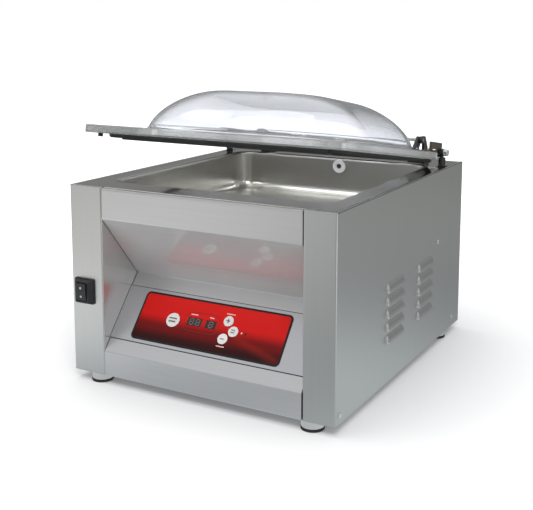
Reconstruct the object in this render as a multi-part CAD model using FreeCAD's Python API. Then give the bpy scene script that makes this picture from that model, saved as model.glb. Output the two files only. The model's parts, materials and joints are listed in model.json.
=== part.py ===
"""Bench-top vacuum packing machine with a domed clear lid, standing on four feet.

Part frame in millimetres: +Z up, +X to the machine's right seen by its user, +Y to the back.
The origin is on the table, under the middle of the whole machine, its switch and screws included.
The lid is laid out closed, in the same frame, and then turned about its hinge to the height at
which the gas springs hold it.
"""
import FreeCAD
import Part
import math
import os
from FreeCAD import Vector

os.makedirs("parts", exist_ok=True)

# ------------------------------------------------------------------ casing
casing_width = 480.0
casing_depth = 565.0
casing_height = 313.0
foot_height = 16.0
sheet = 1.5
bend_inside = 1.0
seam = 0.8
post_width_left = 63.5
post_width_right = 53.5
recess_depth = 92.0
cheek_overrun = 6.0
cheek_margin = 12.0
header_height = 51.0
recess_corner_height = 153.0
sill_height = 41.0
sill_proud = 1.2
fascia_flange = 14.0
floor_flange = 18.0
rear_flange = 20.0
rear_corner_radius = 8.0
rim_lip_side = 3.5
rim_lip_front = 5.0
rim_ledge = 15.0
rear_panel_top_drop = 10.0
screw_head_radius = 4.5
screw_head_height = 2.0
front_screw_inset = 14.0
front_screw_height = 14.0
rear_screw_setback = 45.0
rear_screw_height = 18.0
middle_screw_setback = 135.0
middle_screw_height = 183.0
flange_screw_margin = 32.0

# ------------------------------------------------------------------ louvres
louvre_length = 75.0
louvre_height = 14.0
louvre_bulge = 6.0
louvre_pitch = 21.0
louvre_rows = 5
louvre_top = 165.0
louvre_column_starts = (185.0, 326.0)

# ------------------------------------------------------------------ control panel
slope_margin = 26.0
control_plate_length = 94.0
control_plate_thickness = 1.2
overlay_thickness = 0.6
overlay_inset_left = 38.5
overlay_inset_right = 49.0
overlay_start = 31.0
overlay_end = 115.0
overlay_corner = 8.0
button_gap = 0.35
button_travel = 0.7
button_rise = 1.5
button_dome = 0.7
button_skirt_gap = 0.2
button_stem_radius = 2.0
stem_clearance = 0.05
start_button_radius = 12.0
start_button_across = 68.0
start_button_along = 73.0
small_button_radius = 8.6
pair_across = 168.0
pair_along = 73.5
pair_pitch = 30.0
set_button_across = 182.0
set_button_along = 74.0
display_height = 13.0
display_along = 69.5
display_across = 95.0
tens_window_width = 26.0
window_spacing = 8.0
ones_window_width = 19.0
display_gap = 0.3
display_pillar_radius = 2.5
board_inset_left = 20.0
board_inset_right = 60.0
board_inset_ends = 6.0
board_thickness = 1.6
board_depth = 8.0

# ------------------------------------------------------------------ main switch
switch_width = 39.0
switch_height = 42.0
switch_front_width = 27.0
switch_front_height = 37.0
switch_proud = 10.0
switch_body_width = 26.0
switch_body_height = 34.0
switch_centre_x = 26.5
switch_centre_z = 138.0
rocker_width = 20.0
rocker_height = 28.8
rocker_gap = 0.6
rocker_end_gap = 1.2
rocker_rise = 4.5
rocker_tilt = 7.0

# ------------------------------------------------------------------ chamber
rim_gap = 1.0
chamber_side_margin = 40.5
chamber_front = 60.0
chamber_rear_margin = 77.5
chamber_depth = 72.0
chamber_corner = 25.0
chamber_roll = 6.0
chamber_floor_radius = 14.0
chamber_draft = 3.0
port_x = 18.0
port_drop = 16.0
port_radius = 13.0
port_collar = 5.0
port_bore = 5.4
port_nut_thickness = 6.0

# ------------------------------------------------------------------ seal bar
seal_setback = 21.0
seal_bar_width = 15.0
seal_bar_end_gap = 11.5
seal_bar_height = 25.0
seal_band_width = 8.0
seal_band_thickness = 0.5
seal_travel = 11.7
piston_inset = 58.0
piston_radius = 5.0
piston_clearance = 0.05
piston_head_height = 3.0
piston_seat_gap = 0.3
piston_slack = 3.5
cylinder_radius = 12.0
cylinder_wall = 2.0
cylinder_floor = 2.0
cylinder_cap = 3.0
cylinder_gap = 5.0
cylinder_foot_radius = 5.5
cylinder_foot_height = 4.0

# ------------------------------------------------------------------ lid
hinge_setback = 53.0
hinge_rise = 42.0
rest_angle = 9.2
flange_lift = 6.0
flange_thickness = 13.0
flange_side_inset = 4.0
flange_front = 30.3
flange_tail = 2.0
flange_corner = 10.0
flange_edge_round = 1.5
notch_gap = 0.5
notch_reach = 80.0
notch_corner = 8.0
dome_side_margin = 30.0
dome_front_margin = 38.0
dome_rear_margin = 20.0
dome_front_corner = 136.0
dome_rear_corner = 118.0
dome_height = 75.5
dome_wall = 5.0
dome_flare = 5.0
dome_shoulder = 103.0
dome_roundness = 1.62
dome_corner_hold = 0.7
dome_steps = 8
gasket_side_margin = 25.5
gasket_front_margin = 16.7
gasket_rear_margin = 16.0
gasket_corner = 42.0
gasket_width = 8.0
gasket_lip_width = 4.8
gasket_lip_height = 2.0
gasket_groove = 3.0
gasket_gap = 0.3
counter_bar_overhang = 2.0
counter_bar_width = 18.0
counter_bar_pad_width = 12.0
counter_bar_reach = 8.0
counter_pad_thickness = 2.5
buffer_inset = 12.0
buffer_side_inset = 28.0
buffer_radius = 4.0

# ------------------------------------------------------------------ hinge
ear_inset = 66.0
ear_thickness = 5.0
ear_gap = 0.4
ear_radius = 6.5
shaft_radius = 3.2
shaft_clearance = 0.05
arm_foot_gap = 4.0
arm_foot_length = 30.0
arm_foot_thickness = 4.5
arm_foot_width = 26.0
arm_bolt_offset = 8.5
arm_bolt_setback = 7.0
bracket_gap = 9.0
bracket_foot_length = 28.0
bracket_foot_thickness = 4.0
bracket_foot_width = 34.0
bracket_crown_reach = 6.0
bolt_radius = 3.5
bolt_height = 2.6

# ------------------------------------------------------------------ lid clamp and gas spring
clamp_foot_width = 28.0
clamp_front_reach = 12.0
clamp_rear_reach = 11.0
clamp_bar_reach = 47.0
clamp_bolt_inset = 5.5
clamp_bolt_side = 9.0
clamp_thickness = 4.5
clamp_top = 38.0
clamp_bar_bottom = 25.0
clamp_foot_thickness = 5.0
stud_radius = 4.0
stud_ahead = 34.0
stud_rise = 26.0
stud_head_radius = 6.0
stud_head_length = 8.0
socket_radius = 7.0
socket_width = 6.0
socket_gap = 0.5
socket_clearance = 0.05
neck_radius = 3.0
spring_side_gap = 12.5
spring_slot_gap = 2.0
spring_slot_reach = 13.0
spring_tube_radius = 6.5
spring_tube_top = 9.0
spring_tube_length = 121.0
spring_rod_radius = 3.0
spring_rod_clearance = 0.05
spring_length = 206.0
spring_rod_insert = 40.0
spring_bore_depth = 52.0
eye_radius = 10.0
eye_hole_radius = 6.2
anchor_pin_radius = 4.0
anchor_offset_back = 0.39
anchor_offset_up = 0.26
anchor_plate_radius = 14.0
anchor_plate_thickness = 5.0
anchor_washer_radius = 9.0
anchor_washer_thickness = 1.5

# ------------------------------------------------------------------ feet
foot_radius = 18.0
foot_pad_height = 4.0
foot_bolt_radius = 4.0
front_foot_inset = 44.5
front_foot_setback = 17.5
rear_foot_inset = 22.0
rear_foot_setback = 70.0

# ------------------------------------------------------------------ inside machinery
pump_radius = 52.0
pump_length = 110.0
pump_setback = 233.0
pump_rim = 6.0
pump_rim_width = 8.0
pump_sump_half = 46.0
pump_spigot_radius = 11.0
pump_spigot_height = 18.0
motor_radius = 62.0
motor_length = 120.0
motor_rib_height = 6.0
motor_rib_width = 3.0
motor_ribs = 7
motor_fan_length = 20.0
motor_foot_half = 40.0
mount_radius = 10.0
buffer_height = 12.0
pipe_rise = 40.0
pipe_bend = 24.0
port_pipe_bend = 10.0
valve_setback = 35.0
valve_drop = 46.0
valve_half_width = 16.0
valve_half_depth = 14.0
valve_half_height = 18.0
valve_coil_length = 34.0
transformer_width = 80.0
transformer_depth = 70.0
transformer_height = 64.0
transformer_side_gap = 50.0
transformer_front = 150.0
transformer_yoke = 12.0
transformer_coil_half = 24.0
board_width = 110.0
board_length = 150.0
board_side_gap = 60.0
board_motor_gap = 15.0
board_pillar_height = 10.0
board_pillar_radius = 4.0
board_pillar_inset = 6.0
relay_width = 28.0
relay_height = 22.4
relay_pitch = 42.0
relay_inset = 14.0
relay_start = 16.0
relays = 3
fuse_radius = 11.0
fuse_height = 26.0
inlet_x = 95.0
inlet_z = 55.0
inlet_width = 27.0
inlet_height = 20.0
inlet_depth = 22.0

# ------------------------------------------------------------------ places that follow
half_width = casing_width / 2
switch_reach = switch_proud + rocker_rise - rocker_height / 2 * math.tan(math.radians(rocker_tilt))
front = (switch_reach - screw_head_height - casing_depth) / 2
back = front + casing_depth
base = foot_height
top = foot_height + casing_height
recess_left = post_width_left - half_width
recess_right = half_width - post_width_right
X_AXIS = Vector(1, 0, 0)
Y_AXIS = Vector(0, 1, 0)
Z_AXIS = Vector(0, 0, 1)
DOWN = Vector(0, 0, -1)
ORIGIN = Vector(0, 0, 0)


flange_half_width = half_width - flange_side_inset
hinge_y = back - hinge_setback
hinge_z = top + hinge_rise
flange_y0 = front + flange_front
flange_y1 = hinge_y + flange_tail
ear_x = flange_half_width - ear_inset
stud_rest_y = hinge_y - stud_ahead
stud_rest_z = top + stud_rise
spring_x = half_width - spring_side_gap
socket_x0 = spring_x - socket_width / 2
web_x1 = socket_x0 - socket_gap
web_x0 = web_x1 - clamp_thickness
slot_x = spring_x - spring_tube_radius - spring_slot_gap
slot_y0 = stud_rest_y - spring_slot_reach
slot_y1 = stud_rest_y + spring_slot_reach


def side_x(distance):
    """X of a place given by its distance from the left side of the casing."""
    return distance - half_width


def deep_y(distance):
    """Y of a place given by its distance back from the front face."""
    return front + distance


def high_z(height):
    """Z of a place given by its height above the underside of the casing."""
    return base + height


def above_rim(height):
    """Z of a place given by its height above the rim of the chamber."""
    return top + height


# ------------------------------------------------------------------ helpers
def box(x0, x1, y0, y1, z0, z1):
    return Part.makeBox(x1 - x0, y1 - y0, z1 - z0, Vector(x0, y0, z0))


def rod(start, direction, radius, length):
    return Part.makeCylinder(radius, length, start, direction)


def turned(outline, origin, axis, dome):
    """A turned piece about an axis through origin.  The outline gives (radius, height) from the
    foot to the rim; from there the end rises to the axis as a shallow dome."""
    points = [Vector(0, 0, outline[0][1])] + [Vector(radius, 0, height) for radius, height in outline]
    rim = points[-1]
    crown = Vector(0, 0, rim.z + dome)
    sphere_radius = (rim.x ** 2 + dome ** 2) / (2 * dome)
    lean = math.asin(rim.x / sphere_radius) / 2
    middle = Vector(sphere_radius * math.sin(lean), 0, crown.z - sphere_radius * (1 - math.cos(lean)))
    edges = [Part.LineSegment(a, b).toShape() for a, b in zip(points, points[1:])]
    edges.append(Part.Arc(rim, middle, crown).toShape())
    edges.append(Part.LineSegment(crown, points[0]).toShape())
    body = Part.Face(Part.Wire(edges)).revolve(ORIGIN, Z_AXIS, 360)
    body.Placement = FreeCAD.Placement(origin, FreeCAD.Rotation(Z_AXIS, axis))
    return body


def fuse(shapes):
    joined = shapes[0]
    if len(shapes) > 1:
        joined = joined.multiFuse(shapes[1:])
    return joined.removeSplitter()


def mirrored(shape):
    """The same piece for the other side of the machine."""
    return shape.mirror(ORIGIN, X_AXIS)


def corner_arc(before, corner, after, radius):
    """Start, middle and end of the arc that rounds one corner."""
    back_way = (before - corner).normalize()
    on_way = (after - corner).normalize()
    half = back_way.getAngle(on_way) / 2
    reach = radius / math.tan(half)
    inward = (back_way + on_way).normalize()
    middle = corner + inward * (radius / math.sin(half) - radius)
    return corner + back_way * reach, middle, corner + on_way * reach


def rounded_wire(points, radii, closed=True):
    """A wire through the points, each corner rounded by its own radius (0 keeps it sharp)."""
    count = len(points)
    stops = []
    for i in range(count):
        corner = points[i]
        inner = closed or 0 < i < count - 1
        if inner and radii[i] > 1e-6:
            stops.append(corner_arc(points[i - 1], corner, points[(i + 1) % count], radii[i]))
        else:
            stops.append((corner, None, corner))
    edges = []
    for i in range(count):
        start, middle, end = stops[i]
        if middle is not None:
            edges.append(Part.Arc(start, middle, end).toShape())
        if i < count - 1 or closed:
            following = stops[(i + 1) % count][0]
            if (following - end).Length > 1e-6:
                edges.append(Part.LineSegment(end, following).toShape())
    return Part.Wire(edges)


def rounded_rectangle(x0, x1, y0, y1, z, radius):
    corners = [Vector(x0, y0, z), Vector(x1, y0, z), Vector(x1, y1, z), Vector(x0, y1, z)]
    return rounded_wire(corners, [radius] * 4)


def slab(x0, x1, y0, y1, z0, z1, radius):
    """A flat plate with rounded corners."""
    return Part.Face(rounded_rectangle(x0, x1, y0, y1, z0, radius)).extrude(Z_AXIS * (z1 - z0))


def sheet_outline(path, thickness, radii=None):
    """Outline of a bent sheet in two dimensions: its open face runs along path, and its
    thickness lies to the left of it.  Returns the corners and their radii."""
    count = len(path)
    steps = []
    for i in range(count - 1):
        du = path[i + 1][0] - path[i][0]
        dv = path[i + 1][1] - path[i][1]
        length = math.hypot(du, dv)
        steps.append((du / length, dv / length))
    far_side = []
    near_radii = []
    far_radii = []
    for i in range(count):
        first = steps[max(i - 1, 0)]
        second = steps[min(i, count - 2)]
        turn = first[0] * second[1] - first[1] * second[0]
        cosine = first[0] * second[0] + first[1] * second[1]
        scale = thickness / (1 + cosine)
        offset_u = -(first[1] + second[1]) * scale
        offset_v = (first[0] + second[0]) * scale
        far_side.append((path[i][0] + offset_u, path[i][1] + offset_v))
        if i == 0 or i == count - 1:
            near, far = 0.0, 0.0
        elif radii is not None and radii[i] is not None:
            near = radii[i]
            far = near - thickness if turn > 0 else near + thickness
        elif turn > 0:
            near, far = bend_inside + thickness, bend_inside
        else:
            near, far = bend_inside, bend_inside + thickness
        near_radii.append(near)
        far_radii.append(far)
    corners = list(path) + far_side[::-1]
    return corners, near_radii + far_radii[::-1]


def folded_sheet(path, thickness, place, travel, radii=None):
    """A bent sheet: the section in two dimensions is placed in space and drawn along travel."""
    corners, rounds = sheet_outline(path, thickness, radii)
    wire = rounded_wire([place(u, v) for u, v in corners], rounds)
    return Part.Face(wire).extrude(travel)


def polygon_plate(points, radii, travel):
    return Part.Face(rounded_wire(points, radii)).extrude(travel)


# ------------------------------------------------------------------ the slope of the control panel
slope_top = Vector(0, deep_y(recess_depth), high_z(recess_corner_height))
slope_foot = Vector(0, front - sill_proud, high_z(sill_height))
slope_down = (slope_foot - slope_top).normalize()
slope_normal = X_AXIS.cross(slope_down).normalize() * -1
if slope_normal.z < 0:
    slope_normal = slope_normal * -1


def on_slope(distance_x, along, lift=0.0):
    """Point on the control slope: distance from the left side, distance down the slope from the
    corner of the recess, and height above the fascia's sheet."""
    point = slope_top + slope_down * along + slope_normal * lift
    return Vector(side_x(distance_x), point.y, point.z)


def slope_block(x0, x1, s0, s1, n0, n1, radius):
    """A block that lies on the control slope."""
    corners = [on_slope(x0, s0, n0), on_slope(x1, s0, n0), on_slope(x1, s1, n0), on_slope(x0, s1, n0)]
    return polygon_plate(corners, [radius] * 4, slope_normal * (n1 - n0))


overlay_left = post_width_left + overlay_inset_left
overlay_right = casing_width - post_width_right - overlay_inset_right
overlay_top = control_plate_thickness + overlay_thickness
pair_x = overlay_left + pair_across
buttons = {
    "start_button": (overlay_left + start_button_across, start_button_along, start_button_radius),
    "plus_button": (pair_x, pair_along - pair_pitch / 2, small_button_radius),
    "set_button": (overlay_left + set_button_across, set_button_along, small_button_radius),
    "minus_button": (pair_x, pair_along + pair_pitch / 2, small_button_radius),
}
tens_start = overlay_left + display_across
ones_start = tens_start + tens_window_width + window_spacing
display_windows = [(tens_start, tens_start + tens_window_width), (ones_start, ones_start + ones_window_width)]


def button_holes(grow, n0, n1):
    """Cutters through the panel's sheets round every button."""
    cutters = []
    for across, along, radius in buttons.values():
        hole_radius = radius + grow if grow is not None else button_stem_radius + stem_clearance
        start = on_slope(across, along, n0)
        cutters.append(rod(start, slope_normal, hole_radius, n1 - n0))
    return cutters


def display_holes(gap, n0, n1):
    cutters = []
    for x0, x1 in display_windows:
        s0 = display_along - display_height / 2 - gap
        s1 = display_along + display_height / 2 + gap
        cutters.append(slope_block(x0 - gap, x1 + gap, s0, s1, n0, n1, 0.5))
    return cutters


# ------------------------------------------------------------------ casing pieces
def louvre(start, upper):
    """One pressed hood and the space under it.  The mouth looks down; both ends are rounded."""
    inner_bulge = louvre_bulge - sheet
    inner_height = louvre_height - sheet
    lower = upper - louvre_height
    ends = (deep_y(start) + louvre_bulge, deep_y(start + louvre_length) - louvre_bulge)
    pieces = []
    for bulge, height, root in ((louvre_bulge, louvre_height, 0.0), (inner_bulge, inner_height, sheet)):
        foot_in = half_width - root
        crown = Vector(half_width, ends[0], high_z(lower + height))
        belly = Vector(half_width + bulge * 0.72, ends[0], high_z(lower + height * 0.55))
        mouth = Vector(half_width + bulge, ends[0], high_z(lower))
        centre = Vector(half_width, ends[0], high_z(lower))
        edges = [Part.Arc(crown, belly, mouth).toShape()]
        edges.append(Part.LineSegment(mouth, centre).toShape())
        edges.append(Part.LineSegment(centre, crown).toShape())
        face = Part.Face(Part.Wire(edges))
        run = Y_AXIS * (ends[1] - ends[0])
        body = [face.extrude(run)]
        body.append(face.revolve(centre, Z_AXIS, -90))
        far = face.copy()
        far.translate(run)
        body.append(far.revolve(centre + run, Z_AXIS, 90))
        if root:
            y0 = ends[0] - bulge * 0.5
            y1 = ends[1] + bulge * 0.5
            body.append(box(foot_in - 0.5, half_width, y0, y1, high_z(lower), high_z(lower + height - 1)))
        pieces.append(fuse(body))
    return pieces


def rear_corner_cutter():
    """What the rounded upper rear corner of a side panel leaves out."""
    r = rear_corner_radius
    block = box(0, half_width + 20, back - r, back + 1, top - r, top + 1)
    return block.cut(rod(Vector(0, back - r, top - r), X_AXIS, r, half_width + 20))


def ceiling_z(y):
    """Height of the recess ceiling at a depth."""
    start = Vector(0, front, top - header_height)
    return start.z + (slope_top.z - start.z) * (y - start.y) / (slope_top.y - start.y)


def cheek_cutter(cheek, recess_x):
    """The cheek only closes the recess: above the ceiling it leaves the space to the chamber."""
    y0 = front + rim_ledge
    points = [Vector(recess_x - 1, y0, top + 1), Vector(recess_x - 1, y0, ceiling_z(y0) + cheek_margin)]
    points.append(Vector(recess_x - 1, cheek + 1, ceiling_z(cheek + 1) + cheek_margin))
    points.append(Vector(recess_x - 1, cheek + 1, top + 1))
    upper = polygon_plate(points, [0, 4, 0, 0], X_AXIS * (sheet + 1.5))
    rim_seat = box(recess_x - 1, recess_x + sheet + 0.5, front + rim_lip_front, y0 + 1, top - sheet, top + 1)
    return upper.fuse(rim_seat)


def side_panel(post_width):
    """Side, as on the right: cheek of the recess, front post, side and rear flange folded from one
    sheet, with a stepped lip that takes the rim, a floor flange and two columns of louvres."""
    recess_x = half_width - post_width
    cheek = deep_y(recess_depth + cheek_overrun)
    path = [(recess_x, cheek), (recess_x, front), (half_width, front), (half_width, back)]
    path.append((half_width - rear_flange, back))
    wall = folded_sheet(path, sheet, lambda u, v: Vector(u, v, base), Z_AXIS * casing_height)
    inside = half_width - sheet
    pieces = [wall]
    lip_z = top - sheet
    ledge_z = lip_z - sheet
    y0 = front + sheet
    y1 = back - sheet
    pieces.append(box(half_width - rim_lip_side, inside, y0, y1, ledge_z, top))
    pieces.append(box(inside - rim_ledge, inside, y0, y1 - 20, ledge_z, lip_z))
    pieces.append(box(recess_x + sheet, inside, y0, front + rim_lip_front, ledge_z, top))
    pieces.append(box(recess_x + sheet, inside, y0, front + rim_ledge, ledge_z, lip_z))
    pieces.append(box(inside - floor_flange, inside, y0, y1, base, base + sheet))
    pieces.append(box(recess_x + sheet, inside, y0, cheek, base, base + sheet))
    hoods = []
    throats = []
    for start in louvre_column_starts:
        for row in range(louvre_rows):
            hood, throat = louvre(start, louvre_top - row * louvre_pitch)
            hoods.append(hood)
            throats.append(throat)
    panel = fuse(pieces + hoods).cut(throats)
    slot = box(slot_x, inside, slot_y0, slot_y1, ledge_z - 1, lip_z)
    slot = slot.cut(box(half_width - rim_lip_side, inside, front, back, 0, top))
    panel = panel.cut([slot, rear_corner_cutter(), cheek_cutter(cheek, recess_x)])
    holes = []
    for x, y in ((front_foot_inset, front_foot_setback), (rear_foot_inset, casing_depth - rear_foot_setback)):
        holes.append(rod(Vector(half_width - x, deep_y(y), base - 1), Z_AXIS, foot_bolt_radius, sheet + 2))
    return panel.cut(holes)


def front_fascia():
    """One folded sheet between the posts: header, sloping ceiling and control face of the
    recess, sill and the flanges above and below."""
    path = [(deep_y(fascia_flange), top - sheet), (front, top - sheet), (front, top - header_height)]
    path.append((slope_top.y, slope_top.z))
    path.append((front - sill_proud, high_z(sill_height)))
    path.append((front - sill_proud, base))
    path.append((deep_y(fascia_flange), base))
    x0 = recess_left + seam
    body = folded_sheet(path, sheet, lambda u, v: Vector(x0, u, v), X_AXIS * (recess_right - seam - x0))
    cutters = button_holes(None, -20, 20) + display_holes(display_gap, -20, 20)
    return body.cut(cutters)


def control_plate():
    x0 = post_width_left + seam
    x1 = casing_width - post_width_right - seam
    end = slope_margin + control_plate_length
    plate = slope_block(x0, x1, slope_margin, end, 0, control_plate_thickness, 1.0)
    cutters = button_holes(button_gap, -1, 3) + display_holes(display_gap, -1, 3)
    return plate.cut(cutters)


def keypad_overlay():
    plate = slope_block(overlay_left, overlay_right, overlay_start, overlay_end,
                        control_plate_thickness, overlay_top, overlay_corner)
    cutters = button_holes(button_gap, 0, 3) + display_holes(display_gap, 0, 3)
    return plate.cut(cutters)


def push_button(across, along, radius):
    """A round cap with a shallow domed face, and the stem that reaches the switch behind it."""
    under = button_travel + button_skirt_gap
    edge = overlay_top + button_rise - button_dome
    reach = board_depth - button_travel - display_gap
    outline = [(button_stem_radius, -reach), (button_stem_radius, under), (radius, under), (radius, edge)]
    return turned(outline, on_slope(across, along), slope_normal, button_dome)


def display_module():
    """Circuit board behind the slope with the digit blocks that reach through it."""
    board_face = -board_depth
    x0 = overlay_left + board_inset_left
    x1 = overlay_right - board_inset_right
    s0 = overlay_start + board_inset_ends
    s1 = overlay_end - board_inset_ends
    board = slope_block(x0, x1, s0, s1, board_face - board_thickness, board_face, 1.0)
    pieces = [board]
    for a, b in display_windows:
        low = display_along - display_height / 2
        pieces.append(slope_block(a, b, low, low + display_height, board_face, overlay_top - 0.2, 0.3))
    pillar_inset = 2 * display_pillar_radius
    for across in (x0 + pillar_inset, x1 - pillar_inset):
        for along in (s0 + pillar_inset, s1 - pillar_inset):
            start = on_slope(across, along, board_face)
            pieces.append(rod(start, slope_normal, display_pillar_radius, board_depth - sheet))
    return fuse(pieces)


def switch_outline(width, height, lift):
    x = side_x(switch_centre_x)
    z = high_z(switch_centre_z)
    y = front - lift
    corners = [Vector(x - width / 2, y, z - height / 2), Vector(x + width / 2, y, z - height / 2)]
    corners += [Vector(x + width / 2, y, z + height / 2), Vector(x - width / 2, y, z + height / 2)]
    return rounded_wire(corners, [2.5] * 4)


def switch_opening():
    """Opening in the left post for the switch's body."""
    x = side_x(switch_centre_x)
    z = high_z(switch_centre_z)
    w = switch_body_width / 2 + 0.1
    h = switch_body_height / 2 + 0.1
    return box(x - w, x + w, front - 1, front + sheet + 1, z - h, z + h)


def main_switch_housing():
    """Frame of the power switch: wide at the panel, narrower in front, with the rocker's well."""
    flat = 3.0
    flange = Part.Face(switch_outline(switch_width, switch_height, 0)).extrude(Y_AXIS * -flat)
    taper = Part.makeLoft([switch_outline(switch_width - 3, switch_height - 2, flat - 0.2),
                           switch_outline(switch_front_width, switch_front_height, switch_proud)], True, True)
    x = side_x(switch_centre_x)
    z = high_z(switch_centre_z)
    w = switch_body_width / 2
    h = switch_body_height / 2
    back_block = box(x - w, x + w, front, front + 16, z - h, z + h)
    body = fuse([flange, taper, back_block])
    w = rocker_width / 2 + rocker_gap
    h = rocker_height / 2 + rocker_end_gap
    well = box(x - w, x + w, front - switch_proud - 1, front + 6, z - h, z + h)
    body = body.cut(well)
    pin = rod(Vector(x - w - 2, front - 2, z), X_AXIS, 2.0, 2 * w + 4)
    return body.cut(pin)


def main_switch_rocker():
    """Rocker with two faces that meet at the pivot line, on two short trunnions."""
    x = side_x(switch_centre_x)
    z = high_z(switch_centre_z)
    half = rocker_height / 2
    lean = math.tan(math.radians(rocker_tilt))
    tip = front - switch_proud - rocker_rise
    points = [Vector(x - rocker_width / 2, front + 1.0, z - half * 0.45)]
    points.append(Vector(x - rocker_width / 2, front - 5.0, z - half))
    points.append(Vector(x - rocker_width / 2, tip + 2 * half * lean, z - half))
    points.append(Vector(x - rocker_width / 2, tip + half * lean, z))
    points.append(Vector(x - rocker_width / 2, tip + half * lean, z + half))
    points.append(Vector(x - rocker_width / 2, front - 5.0, z + half))
    points.append(Vector(x - rocker_width / 2, front + 1.0, z + half * 0.45))
    body = polygon_plate(points, [0.0, 0.8, 1.0, 6.0, 1.0, 0.8, 0.0], X_AXIS * rocker_width)
    reach = rocker_width / 2 + rocker_gap + 1.5
    trunnion = rod(Vector(x - reach, front - 2, z), X_AXIS, 1.95, 2 * reach)
    return fuse([body, trunnion])


def base_tray():
    """Floor of the casing, notched round the two front posts, with a low wall at each end."""
    clear = 0.5
    x = half_width - sheet - clear
    z0 = base + sheet
    y0 = front + sheet + clear
    y1 = back - 2 * sheet - clear
    plate = box(-x, x, y0, y1, z0, z0 + sheet)
    notch_y = deep_y(recess_depth + cheek_overrun) + clear
    margin = clear + 0.3
    plate = plate.cut([box(-half_width, recess_left + margin, y0 - 1, notch_y, z0 - 1, z0 + sheet + 1),
                       box(recess_right - margin, half_width, y0 - 1, notch_y, z0 - 1, z0 + sheet + 1)])
    rear_wall = box(-x + rear_flange, x - rear_flange, y1 - sheet, y1, z0, z0 + 25)
    holes = []
    for sign in (-1, 1):
        spot = Vector(sign * (half_width - rear_foot_inset), deep_y(casing_depth - rear_foot_setback), z0 - 1)
        holes.append(rod(spot, Z_AXIS, foot_bolt_radius, sheet + 2))
    return fuse([plate, rear_wall]).cut(holes)


def rear_panel():
    """Flat back inside the flanges of the side panels, with the opening for the mains inlet."""
    half = half_width - sheet - bend_inside - 0.2
    y1 = back - sheet
    panel = box(-half, half, y1 - sheet, y1, base + sheet + 0.5, top - rear_panel_top_drop)
    x = side_x(inlet_x)
    z = high_z(inlet_z)
    w = inlet_width / 2
    h = inlet_height / 2
    return panel.cut(box(x - w, x + w, y1 - 5, y1 + 5, z - h, z + h))


def power_inlet():
    """Moulded mains inlet: flange outside, body inside, socket well with three blades."""
    x = side_x(inlet_x)
    z = high_z(inlet_z)
    y = back - sheet
    w = inlet_width / 2 - 0.1
    h = inlet_height / 2 - 0.1
    flange = box(x - w - 2.5, x + w + 2.5, y, y + 2, z - h - 2.5, z + h + 2.5)
    body = box(x - w, x + w, y - inlet_depth, y, z - h, z + h)
    well = box(x - w + 2, x + w - 2, y - inlet_depth + 4, y + 3, z - h + 2, z + h - 2)
    blades = []
    for dx, dz in ((-7, -1.5), (0, 2.5), (7, -1.5)):
        blades.append(box(x + dx - 1, x + dx + 1, y - inlet_depth + 3.9, y - 2, z + dz - 2.5, z + dz + 2.5))
    return fuse([flange, body]).cut(well).fuse(blades).removeSplitter()


# ------------------------------------------------------------------ chamber
chamber_half = half_width - chamber_side_margin
chamber_y0 = deep_y(chamber_front)
chamber_y1 = back - chamber_rear_margin
chamber_floor = top - chamber_depth
wall_inset = chamber_depth * math.tan(math.radians(chamber_draft))


def ring_sections(profile, x0, x1, y0, y1, front_radius, rear_radius):
    """A closed profile (outward distance, height) drawn round a rounded rectangle: straight runs
    along the four sides and quarter turns at the corners."""
    corners, rounds = profile
    pieces = []
    radii = (front_radius, rear_radius)
    cy = (y0 + front_radius, y1 - rear_radius)
    for edge, outward, radius in ((y0, -1, front_radius), (y1, 1, rear_radius)):
        wire = rounded_wire([Vector(x0 + radius, edge + outward * n, v) for n, v in corners], rounds)
        pieces.append(Part.Face(wire).extrude(X_AXIS * (x1 - x0 - 2 * radius)))
    for edge, outward in ((x0, -1), (x1, 1)):
        wire = rounded_wire([Vector(edge + outward * n, cy[0], v) for n, v in corners], rounds)
        pieces.append(Part.Face(wire).extrude(Y_AXIS * (cy[1] - cy[0])))
        for j, radius in enumerate(radii):
            centre = Vector(edge - outward * radius, cy[j], 0)
            wire = rounded_wire([centre + Vector(outward * (radius + n), 0, v) for n, v in corners], rounds)
            turn = 90 * outward * (1 if j == 1 else -1)
            pieces.append(Part.Face(wire).revolve(centre, Z_AXIS, turn))
    return fuse(pieces)


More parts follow.
